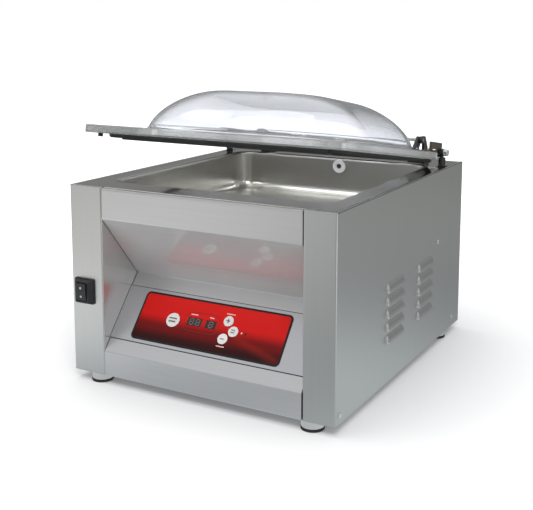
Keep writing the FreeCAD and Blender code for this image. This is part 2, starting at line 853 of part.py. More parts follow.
def chamber_tub():
    """Deep-drawn tub in one piece with the rim that closes the top of the casing."""
    roll_out = chamber_roll + 4
    path = [(roll_out, top), (0.0, top), (-wall_inset, chamber_floor)]
    path.append((-wall_inset - chamber_floor_radius - 3, chamber_floor))
    profile = sheet_outline(path, sheet, [None, chamber_roll, chamber_floor_radius, None])
    walls = ring_sections(profile, -chamber_half, chamber_half, chamber_y0, chamber_y1,
                          chamber_corner, chamber_corner)
    lap = wall_inset + chamber_floor_radius + 2
    lap_radius = max(chamber_corner - lap, 1.0)
    floor = slab(-chamber_half + lap, chamber_half - lap, chamber_y0 + lap, chamber_y1 - lap,
                 chamber_floor - sheet, chamber_floor, lap_radius)
    rim_half = half_width - rim_lip_side - rim_gap
    rim_y0 = front + rim_lip_front + rim_gap
    rim_bend = back - 2 * sheet
    joint_y = rim_bend - rear_corner_radius - 4
    rim = slab(-rim_half, rim_half, rim_y0, joint_y + 1, top - sheet, top, 3.0)
    rim = rim.fuse(box(-rim_half, rim_half, joint_y - 10, joint_y, top - sheet, top))
    opening = slab(-chamber_half - roll_out + 1, chamber_half + roll_out - 1, chamber_y0 - roll_out + 1,
                   chamber_y1 + roll_out - 1, top - sheet - 1, top + 1, chamber_corner + roll_out - 1)
    rim = rim.cut(opening)
    fold = [(rim_bend, top - rear_corner_radius - 14), (rim_bend, top), (joint_y - 1, top)]
    rear_fold = folded_sheet(fold, sheet, lambda u, v: Vector(-rim_half, u, v), X_AXIS * (2 * rim_half),
                             [None, rear_corner_radius, None])
    tub = fuse([walls, floor, rim, rear_fold])
    slots = []
    for sign in (-1, 1):
        x0 = min(sign * slot_x, sign * (half_width + 5))
        x1 = max(sign * slot_x, sign * (half_width + 5))
        slots.append(slab(x0, x1, slot_y0, slot_y1, top - 10, top + 10, 3.0))
    port_hole = rod(Vector(port_x, chamber_y1 - 12, top - port_drop), Y_AXIS, port_radius - port_collar, 24)
    return tub.cut(slots + [port_hole])


def port_wall_y(z):
    return chamber_y1 - (top - z) * math.tan(math.radians(chamber_draft))


def suction_port():
    """Pale fitting in the rear wall of the tub: collar inside, bore, spigot and nut outside."""
    z = top - port_drop
    face = port_wall_y(z + port_radius)
    low = port_wall_y(z - port_radius)
    spigot_radius = port_radius - port_collar
    collar = rod(Vector(port_x, low - 2.5, z), Y_AXIS, port_radius, 2.5)
    spigot = rod(Vector(port_x, low - 0.5, z), Y_AXIS, spigot_radius - 0.02, 16)
    nut = rod(Vector(port_x, face + sheet + 0.3, z), Y_AXIS, port_radius - 1, port_nut_thickness)
    bore = rod(Vector(port_x, low - 5, z), Y_AXIS, port_bore, 60)
    return fuse([collar, spigot, nut]).cut(bore)


# ------------------------------------------------------------------ seal bar
bar_y = chamber_y0 + seal_setback
seal_bar_half_length = chamber_half - seal_bar_end_gap
piston_x = seal_bar_half_length - piston_inset
cylinder_base = chamber_floor + cylinder_foot_height
cavity_base = cylinder_base + cylinder_floor
cavity_height = piston_seat_gap + piston_head_height + seal_travel + piston_slack
cylinder_top = cavity_base + cavity_height + cylinder_cap
bar_bottom = cylinder_top + cylinder_gap
bar_top = bar_bottom + seal_bar_height


def seal_bar():
    """Bar with slightly rounded long edges and a flat for the seal band."""
    half = seal_bar_width / 2
    corners = [Vector(-seal_bar_half_length, bar_y - half, bar_bottom)]
    corners.append(Vector(-seal_bar_half_length, bar_y + half, bar_bottom))
    corners.append(Vector(-seal_bar_half_length, bar_y + half, bar_top))
    corners.append(Vector(-seal_bar_half_length, bar_y - half, bar_top))
    return polygon_plate(corners, [1.0, 1.0, 3.0, 3.0], X_AXIS * (2 * seal_bar_half_length))


def seal_band():
    half = seal_band_width / 2
    inset = 4.0
    return box(-seal_bar_half_length + inset, seal_bar_half_length - inset, bar_y - half, bar_y + half,
               bar_top, bar_top + seal_band_thickness)


def seal_cylinder():
    """Lift cylinder on the floor of the tub, open inside for the piston's head."""
    foot = rod(Vector(piston_x, bar_y, chamber_floor), Z_AXIS, cylinder_foot_radius, cylinder_foot_height)
    body = rod(Vector(piston_x, bar_y, cylinder_base), Z_AXIS, cylinder_radius, cylinder_top - cylinder_base)
    cavity = rod(Vector(piston_x, bar_y, cavity_base), Z_AXIS, cylinder_radius - cylinder_wall, cavity_height)
    bore = rod(Vector(piston_x, bar_y, cavity_base), Z_AXIS, piston_radius + piston_clearance, 40)
    return fuse([foot, body]).cut([cavity, bore])


def seal_bar_piston():
    head_base = cavity_base + piston_seat_gap
    head = rod(Vector(piston_x, bar_y, head_base), Z_AXIS,
               cylinder_radius - cylinder_wall - piston_clearance, piston_head_height)
    stem = rod(Vector(piston_x, bar_y, head_base), Z_AXIS, piston_radius, bar_bottom - head_base)
    return fuse([head, stem])


# ------------------------------------------------------------------ lid, laid out closed
flange_z0 = above_rim(flange_lift)
flange_z1 = flange_z0 + flange_thickness
dome_half_width = flange_half_width - dome_side_margin
dome_y0 = flange_y0 + dome_front_margin
dome_y1 = flange_y1 - dome_rear_margin
dome_middle = (dome_y0 + dome_y1) / 2
dome_half_length = (dome_y1 - dome_y0) / 2


def to_rest(shape):
    """Turns a piece of the closed lid about the hinge to the rest height."""
    turned = shape.copy()
    turned.rotate(Vector(0, hinge_y, hinge_z), X_AXIS, -rest_angle)
    return turned


def lid_flange():
    """Flat plate with a notch at each rear corner, where the clamps hang down."""
    inner = web_x0 - notch_gap
    notch_y = hinge_y - notch_reach
    points = [Vector(-flange_half_width, flange_y0, flange_z0), Vector(flange_half_width, flange_y0, flange_z0)]
    points += [Vector(flange_half_width, notch_y, flange_z0), Vector(inner, notch_y, flange_z0)]
    points += [Vector(inner, flange_y1, flange_z0), Vector(-inner, flange_y1, flange_z0)]
    points += [Vector(-inner, notch_y, flange_z0), Vector(-flange_half_width, notch_y, flange_z0)]
    c = flange_corner
    n = notch_corner
    plate = polygon_plate(points, [c, c, 3.0, n, 3.0, 3.0, n, 3.0], Z_AXIS * flange_thickness)
    outer = []
    for edge in plate.Edges:
        level = abs(edge.BoundBox.ZMin - edge.BoundBox.ZMax) < 1e-6
        if level and edge.BoundBox.ZMin > flange_z0 + 1:
            outer.append(edge)
    return plate.makeFillet(flange_edge_round, outer)


def dome_section(inset, z, shrink):
    """Rounded rectangle of the dome at one height; corners stay full as it closes in."""
    hw = dome_half_width - shrink - inset
    hl = dome_half_length - shrink - inset
    loss = shrink + dome_corner_hold * inset
    front_radius = min(dome_front_corner - loss, hw - 2, hl - 2)
    rear_radius = min(dome_rear_corner - loss, hw - 2, hl - 2)
    corners = [Vector(-hw, dome_middle - hl, z), Vector(hw, dome_middle - hl, z)]
    corners += [Vector(hw, dome_middle + hl, z), Vector(-hw, dome_middle + hl, z)]
    return rounded_wire(corners, [front_radius, front_radius, rear_radius, rear_radius])


def dome_form(shrink, height):
    """Solid dome on the flange: walls that lean in, a full shoulder and a nearly flat crown."""
    wires = []
    for step in range(dome_steps + 1):
        t = math.radians(90.0 * step / dome_steps)
        rise = math.sin(t) ** (2 / dome_roundness)
        inset = dome_shoulder * (1 - math.cos(t) ** (2 / dome_roundness))
        wires.append(dome_section(inset, flange_z1 + height * rise, shrink))
    return Part.makeLoft(wires, True, False)


def lid_dome():
    """Clear lid: thick flange and thermoformed dome in one piece, hollow underneath, with a
    small flare all round where the dome turns into the flange."""
    outer = dome_form(dome_flare, dome_height)
    inner = dome_form(dome_flare + dome_wall, dome_height - dome_wall)
    mouth = Part.Face(dome_section(0.0, flange_z1, dome_flare + dome_wall)).extrude(DOWN * (flange_thickness + 1))
    flare = [(-0.5, flange_z1 - 0.5), (dome_flare, flange_z1 - 0.5), (dome_flare, flange_z1),
             (1.2, flange_z1 + 1.6), (-0.3, flange_z1 + 6), (-0.5, flange_z1 + 6)]
    foot = ring_sections((flare, [0, 0, 0, 5, 0, 0]),
                         -dome_half_width + dome_flare, dome_half_width - dome_flare,
                         dome_y0 + dome_flare, dome_y1 - dome_flare,
                         dome_front_corner - dome_flare, dome_rear_corner - dome_flare)
    body = lid_flange().fuse([outer, foot]).cut([inner, mouth])
    groove = gasket_ring(flange_z0 - 1, flange_z0 + gasket_groove, gasket_width / 2)
    return body.cut(groove).removeSplitter()


def gasket_ring(z0, z1, half):
    y0 = flange_y0 + gasket_front_margin
    y1 = flange_y1 - gasket_rear_margin
    w = flange_half_width - gasket_side_margin
    outer = slab(-w - half, w + half, y0 - half, y1 + half, z0, z1, gasket_corner + half)
    inner = slab(-w + half, w - half, y0 + half, y1 - half, z0 - 1, z1 + 1, gasket_corner - half)
    return outer.cut(inner)


def lid_gasket():
    """Soft seal that sits in the groove of the flange and meets the rim when the lid is shut."""
    half = gasket_width / 2
    lip_z = above_rim(gasket_gap)
    upper = gasket_ring(flange_z0, flange_z0 + gasket_groove, half)
    lower = gasket_ring(lip_z + gasket_lip_height, flange_z0, half)
    tip = gasket_ring(lip_z, lip_z + gasket_lip_height, gasket_lip_width / 2)
    return fuse([upper, lower, tip])


def counter_bar():
    half = counter_bar_width / 2
    z0 = flange_z0 - counter_bar_reach + counter_pad_thickness
    x = seal_bar_half_length + counter_bar_overhang
    corners = [Vector(-x, bar_y - half, z0), Vector(-x, bar_y + half, z0)]
    corners += [Vector(-x, bar_y + half, flange_z0), Vector(-x, bar_y - half, flange_z0)]
    return polygon_plate(corners, [1.2, 1.2, 0.0, 0.0], X_AXIS * (2 * x))


def counter_bar_pad():
    half = counter_bar_pad_width / 2
    z0 = flange_z0 - counter_bar_reach
    x = seal_bar_half_length + counter_bar_overhang / 2
    corners = [Vector(-x, bar_y - half, z0), Vector(-x, bar_y + half, z0)]
    corners += [Vector(-x, bar_y + half, z0 + counter_pad_thickness)]
    corners += [Vector(-x, bar_y - half, z0 + counter_pad_thickness)]
    return polygon_plate(corners, [0.8, 0.8, 0.0, 0.0], X_AXIS * (2 * x))


def lid_buffers():
    """Small rubber stops under the two front corners of the flange."""
    y = flange_y0 + buffer_inset
    stops = []
    for sign in (-1, 1):
        x = sign * (flange_half_width - buffer_side_inset)
        stops.append(rod(Vector(x, y, above_rim(gasket_gap)), Z_AXIS, buffer_radius, flange_lift - gasket_gap))
    return Part.makeCompound(stops)


# ------------------------------------------------------------------ hinge
def lid_hinge_arm():
    """Foot bolted to the flange and an upright ear with the eye for the shaft."""
    x0 = ear_x - ear_thickness / 2
    z = flange_z1
    y1 = hinge_y - arm_foot_gap
    y0 = y1 - arm_foot_length
    foot = slab(ear_x - arm_foot_width / 2, ear_x + arm_foot_width / 2, y0, y1, z, z + arm_foot_thickness, 3.0)
    corners = [Vector(x0, y0 + 3, z + 1), Vector(x0, y1 - 2, z + 1)]
    corners += [Vector(x0, hinge_y + ear_radius, hinge_z - 4), Vector(x0, hinge_y + ear_radius, hinge_z + ear_radius)]
    corners += [Vector(x0, hinge_y - ear_radius, hinge_z + ear_radius)]
    rounds = [0.0, 1.0, 3.5, ear_radius, ear_radius - 0.5]
    web = polygon_plate(corners, rounds, X_AXIS * ear_thickness)
    eye = rod(Vector(x0, hinge_y, hinge_z), X_AXIS, ear_radius, ear_thickness)
    bore = rod(Vector(x0 - 1, hinge_y, hinge_z), X_AXIS, shaft_radius, ear_thickness + 2)
    return fuse([foot, web, eye]).cut(bore)


def hinge_bracket():
    """Bracket screwed to the rim behind the lid; its ear reaches forward to the shaft."""
    x0 = ear_x + ear_thickness / 2 + ear_gap
    y0 = hinge_y + bracket_gap
    y1 = y0 + bracket_foot_length
    foot = slab(x0 - bracket_foot_width + ear_thickness, x0 + ear_thickness, y0, y1,
                top, top + bracket_foot_thickness, 2.0)
    corners = [Vector(x0, y0, top + 1), Vector(x0, y1, top + 1), Vector(x0, y1, top + 12)]
    corners += [Vector(x0, y0 + bracket_crown_reach, hinge_z + ear_radius)]
    corners += [Vector(x0, hinge_y - ear_radius, hinge_z + ear_radius)]
    corners += [Vector(x0, hinge_y - ear_radius, hinge_z - ear_radius), Vector(x0, y0, hinge_z - ear_radius)]
    rounds = [0.0, 0.0, 4.0, 8.0, ear_radius - 0.5, ear_radius - 0.5, 3.0]
    web = polygon_plate(corners, rounds, X_AXIS * ear_thickness)
    bore = rod(Vector(x0 - 1, hinge_y, hinge_z), X_AXIS, shaft_radius + shaft_clearance, ear_thickness + 2)
    return fuse([foot, web]).cut(bore)


def hinge_shaft():
    reach = ear_x + ear_thickness * 1.5 + ear_gap + 1.5
    return rod(Vector(-reach, hinge_y, hinge_z), X_AXIS, shaft_radius, 2 * reach)


# ------------------------------------------------------------------ lid clamp and gas spring
def turned_back(y, z, angle):
    """A point of the resting lid, taken back to the closed lid."""
    a = math.radians(angle)
    dy = y - hinge_y
    dz = z - hinge_z
    return hinge_y + dy * math.cos(a) - dz * math.sin(a), hinge_z + dy * math.sin(a) + dz * math.cos(a)


stud_y, stud_z = turned_back(stud_rest_y, stud_rest_z, rest_angle)


def lid_clamp():
    """Inverted-L bracket: foot on the flange, web down in the corner notch, bar along the top."""
    x0 = web_x1 - clamp_foot_width
    y0 = stud_rest_y - clamp_front_reach
    y1 = stud_rest_y + clamp_rear_reach
    foot = slab(x0, web_x1 - 1, y0, y1, flange_z1, flange_z1 + clamp_foot_thickness, 2.0)
    foot = foot.cut(box(web_x1 - 3, web_x1, y0 - 1, y1 + 1, flange_z1 - 1, flange_z1 + 20))
    foot = foot.fuse(box(web_x0 - 3, web_x1, y0, y1, flange_z1, flange_z1 + clamp_foot_thickness))
    r = spring_tube_top - 0.5
    up = above_rim(clamp_top)
    bar = above_rim(clamp_bar_bottom)
    yb = stud_rest_y - clamp_bar_reach
    corners = [Vector(web_x0, yb, up), Vector(web_x0, y1, up), Vector(web_x0, y1, stud_z - r)]
    corners += [Vector(web_x0, stud_y - r, stud_z - r), Vector(web_x0, y0, bar), Vector(web_x0, yb, bar)]
    rounds = [1.5, 3.0, r - 0.3, r - 0.6, 2.0, 1.5]
    web = polygon_plate(corners, rounds, X_AXIS * clamp_thickness)
    keep = box(web_x0 - 1, web_x1 + 1, yb - 5, y1 + 5, stud_z, up + 5)
    round_end = rod(Vector(web_x0 - 1, stud_y, stud_z), X_AXIS, r, clamp_thickness + 2)
    web = web.common(fuse([keep, round_end]))
    hole = rod(Vector(web_x0 - 5, stud_y, stud_z), X_AXIS, stud_radius, clamp_thickness + 10)
    return fuse([foot, web]).cut(hole)


def lid_stud():
    """Shouldered stud through the clamp; the spring's socket turns on it."""
    x_head = socket_x0 + socket_width + socket_gap
    shaft = rod(Vector(web_x0, stud_y, stud_z), X_AXIS, stud_radius, x_head - web_x0 + 1)
    head = rod(Vector(x_head, stud_y, stud_z), X_AXIS, stud_head_radius, stud_head_length)
    rim_edges = [e for e in head.Edges if e.BoundBox.XMin > x_head + 1 and e.BoundBox.XLength < 1e-6]
    head = head.makeFillet(1.2, rim_edges)
    return fuse([shaft, head])


def spring_tube():
    """Pressure tube with its end socket; the open lower end takes the rod."""
    y, z = stud_rest_y, stud_rest_z
    socket = rod(Vector(socket_x0, y, z), X_AXIS, socket_radius, socket_width)
    hole = rod(Vector(socket_x0 - 1, y, z), X_AXIS, stud_radius + socket_clearance, socket_width + 2)
    neck = rod(Vector(spring_x, y, z - spring_tube_top - 1), Z_AXIS, neck_radius, 5)
    tube_z0 = z - spring_tube_top - spring_tube_length
    tube = rod(Vector(spring_x, y, tube_z0), Z_AXIS, spring_tube_radius, spring_tube_length)
    shoulder = [e for e in tube.Edges if e.BoundBox.ZMin > z - spring_tube_top - 1 and e.BoundBox.ZLength < 1e-6]
    tube = tube.makeFillet(1.5, shoulder)
    bore = rod(Vector(spring_x, y, tube_z0 - 1), Z_AXIS, spring_rod_radius + spring_rod_clearance,
               spring_bore_depth + 1)
    return fuse([socket, neck, tube]).cut([hole, bore])


def spring_rod():
    """Piston rod with the lower eye."""
    y = stud_rest_y
    eye_z = stud_rest_z - spring_length
    tube_z0 = stud_rest_z - spring_tube_top - spring_tube_length
    eye = rod(Vector(socket_x0, y, eye_z), X_AXIS, eye_radius, socket_width)
    hole = rod(Vector(socket_x0 - 1, y, eye_z), X_AXIS, eye_hole_radius, socket_width + 2)
    stem_z = eye_z + (eye_radius + eye_hole_radius) / 2
    stem = rod(Vector(spring_x, y, stem_z), Z_AXIS, spring_rod_radius, tube_z0 + spring_rod_insert - stem_z)
    return fuse([eye, stem]).cut(hole)


def spring_anchor():
    """Plate on the inner face of the side with the pin for the spring's eye."""
    y = stud_rest_y + anchor_offset_back
    z = stud_rest_z - spring_length + anchor_offset_up
    wall = half_width - sheet
    start = socket_x0 - 1.0 - anchor_washer_thickness
    plate = rod(Vector(wall - anchor_plate_thickness, y, z), X_AXIS, anchor_plate_radius, anchor_plate_thickness)
    pin = rod(Vector(start, y, z), X_AXIS, anchor_pin_radius, wall - start)
    washer = rod(Vector(start, y, z), X_AXIS, anchor_washer_radius, anchor_washer_thickness)
    return fuse([plate, pin, washer])


def bolt(x, y, z, direction=Z_AXIS):
    """Low round-headed bolt with a hexagon socket, its head standing on a surface."""
    head = rod(Vector(x, y, z), direction, bolt_radius, bolt_height)
    socket = rod(Vector(x, y, z) + direction * (bolt_height - 1.2), direction, bolt_radius * 0.45, 2)
    return head.cut(socket)


def lid_bolts():
    heads = []
    for sign in (-1, 1):
        for offset in (-arm_bolt_offset, arm_bolt_offset):
            y = hinge_y - arm_foot_gap - arm_foot_length + arm_bolt_setback
            heads.append(bolt(sign * (ear_x + offset), y, flange_z1 + arm_foot_thickness))
        for reach in (clamp_bolt_inset - clamp_front_reach, clamp_rear_reach - clamp_bolt_inset):
            x = sign * (web_x1 - clamp_foot_width + clamp_bolt_side)
            heads.append(bolt(x, stud_rest_y + reach, flange_z1 + clamp_foot_thickness))
    return Part.makeCompound(heads)


# ------------------------------------------------------------------ feet and screws
def foot_places():
    places = []
    for name, sign, inset, y in (
            ("front_left", -1, front_foot_inset, front_foot_setback),
            ("front_right", 1, front_foot_inset, front_foot_setback),
            ("rear_left", -1, rear_foot_inset, casing_depth - rear_foot_setback),
            ("rear_right", 1, rear_foot_inset, casing_depth - rear_foot_setback)):
        places.append((name, sign * (half_width - inset), deep_y(y)))
    return places


def foot_cup(x, y):
    """Bright turned cup, with its bolt up through the floor of the casing."""
    cup = rod(Vector(x, y, foot_pad_height), Z_AXIS, foot_radius - 0.8, foot_height - foot_pad_height)
    low = [e for e in cup.Edges if e.BoundBox.ZMax < foot_pad_height + 0.1 and e.BoundBox.ZLength < 1e-6]
    cup = cup.makeFillet(1.0, low)
    stem = rod(Vector(x, y, foot_height - 1), Z_AXIS, foot_bolt_radius, 9)
    nut = rod(Vector(x, y, foot_height + 2 * sheet), Z_AXIS, foot_bolt_radius + 3, 4)
    return fuse([cup, stem, nut])


def foot_pad(x, y):
    pad = rod(Vector(x, y, 0), Z_AXIS, foot_radius, foot_pad_height)
    edges = [e for e in pad.Edges if e.BoundBox.ZLength < 1e-6]
    return pad.makeFillet(0.8, edges)


def pan_screw(point, direction):
    """Raised screw head with a broad chamfer; its cross slot is left to the finish."""
    rim = screw_head_height / 3
    low = rod(point, direction, screw_head_radius, rim)
    top_radius = screw_head_radius * 0.66
    cap = Part.makeCone(screw_head_radius, top_radius, screw_head_height - rim, point + direction * rim, direction)
    return fuse([low, cap])


def panel_screws():
    spots = [(front + front_screw_inset, front_screw_height), (back - rear_screw_setback, rear_screw_height),
             (back - middle_screw_setback, middle_screw_height)]
    heads = []
    for sign in (-1, 1):
        for y, height in spots:
            heads.append(pan_screw(Vector(sign * half_width, y, high_z(height)), X_AXIS * sign))
        for height in (flange_screw_margin, casing_height / 2, casing_height - flange_screw_margin):
            spot = Vector(sign * (half_width - rear_flange / 2), back, high_z(height))
            heads.append(pan_screw(spot, Y_AXIS))
    return Part.makeCompound(heads)


# ------------------------------------------------------------------ machinery under the tub
tray_top = base + 2 * sheet
set_base = tray_top + buffer_height
pump_y = back - pump_setback
pump_z = set_base + motor_radius
pump_x0 = port_x - pump_length / 2
pump_x1 = pump_x0 + pump_length
motor_x0 = pump_x0 - motor_length
port_z = top - port_drop
valve_y = back - valve_setback
valve_z = port_z - valve_drop
pipe_foot_z = pump_z + pump_radius + pump_spigot_height / 2


def vacuum_pump():
    """Vane pump: round housing with end flanges, oil case below and the inlet spigot on top."""
    housing = rod(Vector(pump_x0, pump_y, pump_z), X_AXIS, pump_radius, pump_length)
    collar = rod(Vector(pump_x0, pump_y, pump_z), X_AXIS, pump_radius + pump_rim, pump_rim_width)
    cover = rod(Vector(pump_x1 - pump_rim_width, pump_y, pump_z), X_AXIS, pump_radius + pump_rim, pump_rim_width)
    sump = box(pump_x0, pump_x1, pump_y - pump_sump_half, pump_y + pump_sump_half, set_base, pump_z)
    spigot_z = pump_z + pump_radius - pump_rim
    spigot = rod(Vector(port_x, pump_y, spigot_z), Z_AXIS, pump_spigot_radius, pump_spigot_height + pump_rim)
    bore = rod(Vector(port_x, pump_y, pipe_foot_z), Z_AXIS, port_bore, pump_spigot_height)
    return fuse([housing, collar, cover, sump, spigot]).cut(bore)


def pump_motor():
    """Electric motor flanged to the pump, with cooling ribs and its fan cover."""
    body = rod(Vector(motor_x0, pump_y, pump_z), X_AXIS, motor_radius - motor_rib_height, motor_length)
    fan = rod(Vector(motor_x0, pump_y, pump_z), X_AXIS, motor_radius - 1, motor_fan_length)
    ribs = []
    first = motor_x0 + motor_fan_length + motor_rib_height
    pitch = (pump_x0 - first - motor_rib_height - motor_rib_width) / (motor_ribs - 1)
    for i in range(motor_ribs):
        ribs.append(rod(Vector(first + i * pitch, pump_y, pump_z), X_AXIS, motor_radius, motor_rib_width))
    feet = box(motor_x0 + motor_fan_length, pump_x0 - 2 * motor_rib_height, pump_y - motor_foot_half,
               pump_y + motor_foot_half, set_base, pump_z - motor_foot_half)
    return fuse([body, fan, feet] + ribs)


def pump_buffers():
    """Rubber mounts between the floor and the pump set."""
    mounts = []
    ends = (motor_x0 + motor_fan_length + mount_radius, pump_x0 - 2 * motor_rib_height - mount_radius,
            pump_x0 + mount_radius, pump_x1 - mount_radius)
    reach = motor_foot_half - mount_radius
    for x in ends:
        for y in (pump_y - reach, pump_y + reach):
            mounts.append(rod(Vector(x, y, tray_top), Z_AXIS, mount_radius, buffer_height))
    return Part.makeCompound(mounts)


def pipe(points, radius, bend):
    """Tube of round section along straight runs joined by tangent arcs."""
    path = rounded_wire(points, [bend] * len(points), closed=False)
    start = points[0]
    heading = (points[1] - points[0]).normalize()
    ring = Part.Wire([Part.makeCircle(radius, start, heading)])
    return path.makePipeShell([ring], True, False)


def suction_pipe():
    """Two pipes: from the suction port to the valve, and from the valve to the pump."""
    port_end = port_wall_y(port_z - port_radius) + 15.5
    upper = [Vector(port_x, port_end, port_z), Vector(port_x, valve_y, port_z)]
    upper.append(Vector(port_x, valve_y, valve_z + valve_half_height))
    level = pipe_foot_z + pipe_rise
    lower = [Vector(port_x, valve_y, valve_z - valve_half_height), Vector(port_x, valve_y, level)]
    lower += [Vector(port_x, pump_y, level), Vector(port_x, pump_y, pipe_foot_z)]
    return Part.makeCompound([pipe(upper, port_bore, port_pipe_bend), pipe(lower, port_bore, pipe_bend)])


def vacuum_valve():
    """Solenoid valve between the two pipes: block with its coil, on a bracket to the rear."""
    block = box(port_x - valve_half_width, port_x + valve_half_width, valve_y - valve_half_depth,
                valve_y + valve_half_depth, valve_z - valve_half_height, valve_z + valve_half_height)
    coil = rod(Vector(port_x + valve_half_width, valve_y, valve_z), X_AXIS, valve_half_depth, valve_coil_length)
    bracket = box(port_x - valve_half_depth, port_x + valve_half_depth, valve_y + valve_half_depth,
                  back - 2 * sheet, valve_z - valve_half_height / 2, valve_z + valve_half_height / 2)
    bore = rod(Vector(port_x, valve_y, valve_z - 2 * valve_half_height), Z_AXIS, port_bore, 4 * valve_half_height)
    return fuse([block, coil, bracket]).cut(bore)


def seal_transformer():
    """Transformer for the seal band: laminated core round one winding."""
    x1 = half_width - transformer_side_gap
    x0 = x1 - transformer_width
    y0 = deep_y(transformer_front)
    y1 = y0 + transformer_depth
    z1 = tray_top + transformer_height
    t = transformer_yoke
    middle = (x0 + x1) / 2
    core = box(x0, x1, y0 + t, y1 - t, tray_top, z1)
    windows = []
    for a, b in ((x0 + t, middle - t / 2), (middle + t / 2, x1 - t)):
        windows.append(box(a, b, y0, y1, tray_top + t, z1 - t))
    core = core.cut(windows)
    coil = box(middle - transformer_coil_half, middle + transformer_coil_half, y0, y1, tray_top + t, z1 - t)
    return fuse([core, coil])


def control_board():
    """Power board on four pillars, with its relays and fuse holder."""
    x0 = side_x(board_side_gap)
    x1 = x0 + board_width
    y1 = pump_y - motor_radius - board_motor_gap
    y0 = y1 - board_length
    z0 = tray_top + board_pillar_height
    face = z0 + board_thickness
    pieces = [box(x0, x1, y0, y1, z0, face)]
    for x in (x0 + board_pillar_inset, x1 - board_pillar_inset):
        for y in (y0 + board_pillar_inset, y1 - board_pillar_inset):
            pieces.append(rod(Vector(x, y, tray_top), Z_AXIS, board_pillar_radius, board_pillar_height))
    for i in range(relays):
        y = y0 + relay_start + i * relay_pitch
        x = x0 + relay_inset
        pieces.append(box(x, x + relay_width, y, y + relay_width, face, face + relay_height))
    fuse_place = Vector(x1 - relay_width, y0 + relay_width, face)
    pieces.append(rod(fuse_place, Z_AXIS, fuse_radius, fuse_height))
    return fuse(pieces)


# ------------------------------------------------------------------ writing the pieces
def build():
    pieces = {}
    pieces["side_panel_right"] = side_panel(post_width_right)
    pieces["side_panel_left"] = mirrored(side_panel(post_width_left)).cut(switch_opening())
    pieces["front_fascia"] = front_fascia()
    pieces["control_plate"] = control_plate()
    pieces["keypad_overlay"] = keypad_overlay()
    pieces["display_module"] = display_module()
    for name, (across, along, radius) in buttons.items():
        pieces[name] = push_button(across, along, radius)
    pieces["main_switch_housing"] = main_switch_housing()
    pieces["main_switch_rocker"] = main_switch_rocker()
    pieces["base_tray"] = base_tray()
    pieces["rear_panel"] = rear_panel()
    pieces["power_inlet"] = power_inlet()
    pieces["chamber_tub"] = chamber_tub()
    pieces["suction_port"] = suction_port()
    pieces["seal_bar"] = seal_bar()
    pieces["seal_band"] = seal_band()
    for name, maker in (("seal_cylinder", seal_cylinder), ("seal_bar_piston", seal_bar_piston)):
        shape = maker()
        pieces[name + "_right"] = shape
        pieces[name + "_left"] = mirrored(shape)
    pieces["lid_dome"] = to_rest(lid_dome())
    pieces["lid_gasket"] = to_rest(lid_gasket())
    pieces["counter_bar"] = to_rest(counter_bar())
    pieces["counter_bar_pad"] = to_rest(counter_bar_pad())
    pieces["lid_buffers"] = to_rest(lid_buffers())
    pieces["lid_bolts"] = to_rest(lid_bolts())
    pieces["hinge_shaft"] = to_rest(hinge_shaft())
    for name, maker in (("lid_hinge_arm", lid_hinge_arm), ("lid_clamp", lid_clamp), ("lid_stud", lid_stud)):
        shape = to_rest(maker())
        pieces[name + "_right"] = shape
        pieces[name + "_left"] = mirrored(shape)
    for name, maker in (("hinge_bracket", hinge_bracket), ("gas_spring_tube", spring_tube),
                        ("gas_spring_rod", spring_rod), ("spring_anchor", spring_anchor)):
        shape = maker()
        pieces[name + "_right"] = shape
        pieces[name + "_left"] = mirrored(shape)
    for name, x, y in foot_places():
        pieces["foot_cup_" + name] = foot_cup(x, y)
        pieces["foot_pad_" + name] = foot_pad(x, y)
    pieces["panel_screws"] = panel_screws()
    pieces["vacuum_pump"] = vacuum_pump()
    pieces["pump_motor"] = pump_motor()
    pieces["pump_buffers"] = pump_buffers()
    pieces["suction_pipe"] = suction_pipe()
    pieces["vacuum_valve"] = vacuum_valve()
    pieces["seal_transformer"] = seal_transformer()
    pieces["control_board"] = control_board()
    return pieces


if __name__ == "__main__":
    for node, shape in build().items():
        shape.exportStep("parts/" + node + ".step")
        valid = "ok" if shape.isValid() else "NOT VALID"
        print(node, len(shape.Solids), "solids", round(shape.Volume / 1000, 2), "cm3", valid)
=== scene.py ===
"""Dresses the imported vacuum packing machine: finishes, small trim, studio and camera."""
import bpy
import bmesh
import json
import math
from mathutils import Matrix, Vector
from mathutils.geometry import tessellate_polygon


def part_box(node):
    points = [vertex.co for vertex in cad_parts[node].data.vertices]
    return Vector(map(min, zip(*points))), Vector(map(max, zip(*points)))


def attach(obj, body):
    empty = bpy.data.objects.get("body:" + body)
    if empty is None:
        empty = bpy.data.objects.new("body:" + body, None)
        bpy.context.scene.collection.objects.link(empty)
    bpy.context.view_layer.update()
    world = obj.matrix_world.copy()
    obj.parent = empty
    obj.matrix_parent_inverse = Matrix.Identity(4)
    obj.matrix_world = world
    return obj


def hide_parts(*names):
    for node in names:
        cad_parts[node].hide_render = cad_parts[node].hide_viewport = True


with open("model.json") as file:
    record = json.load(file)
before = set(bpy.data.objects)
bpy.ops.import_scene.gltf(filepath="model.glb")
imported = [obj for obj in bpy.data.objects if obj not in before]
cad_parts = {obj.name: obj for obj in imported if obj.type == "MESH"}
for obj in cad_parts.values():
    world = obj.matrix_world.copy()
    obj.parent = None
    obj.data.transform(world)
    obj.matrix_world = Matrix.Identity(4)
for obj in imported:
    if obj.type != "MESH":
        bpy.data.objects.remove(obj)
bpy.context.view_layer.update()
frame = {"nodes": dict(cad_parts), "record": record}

MM = 0.001
nodes = frame["nodes"]
scene = bpy.context.scene

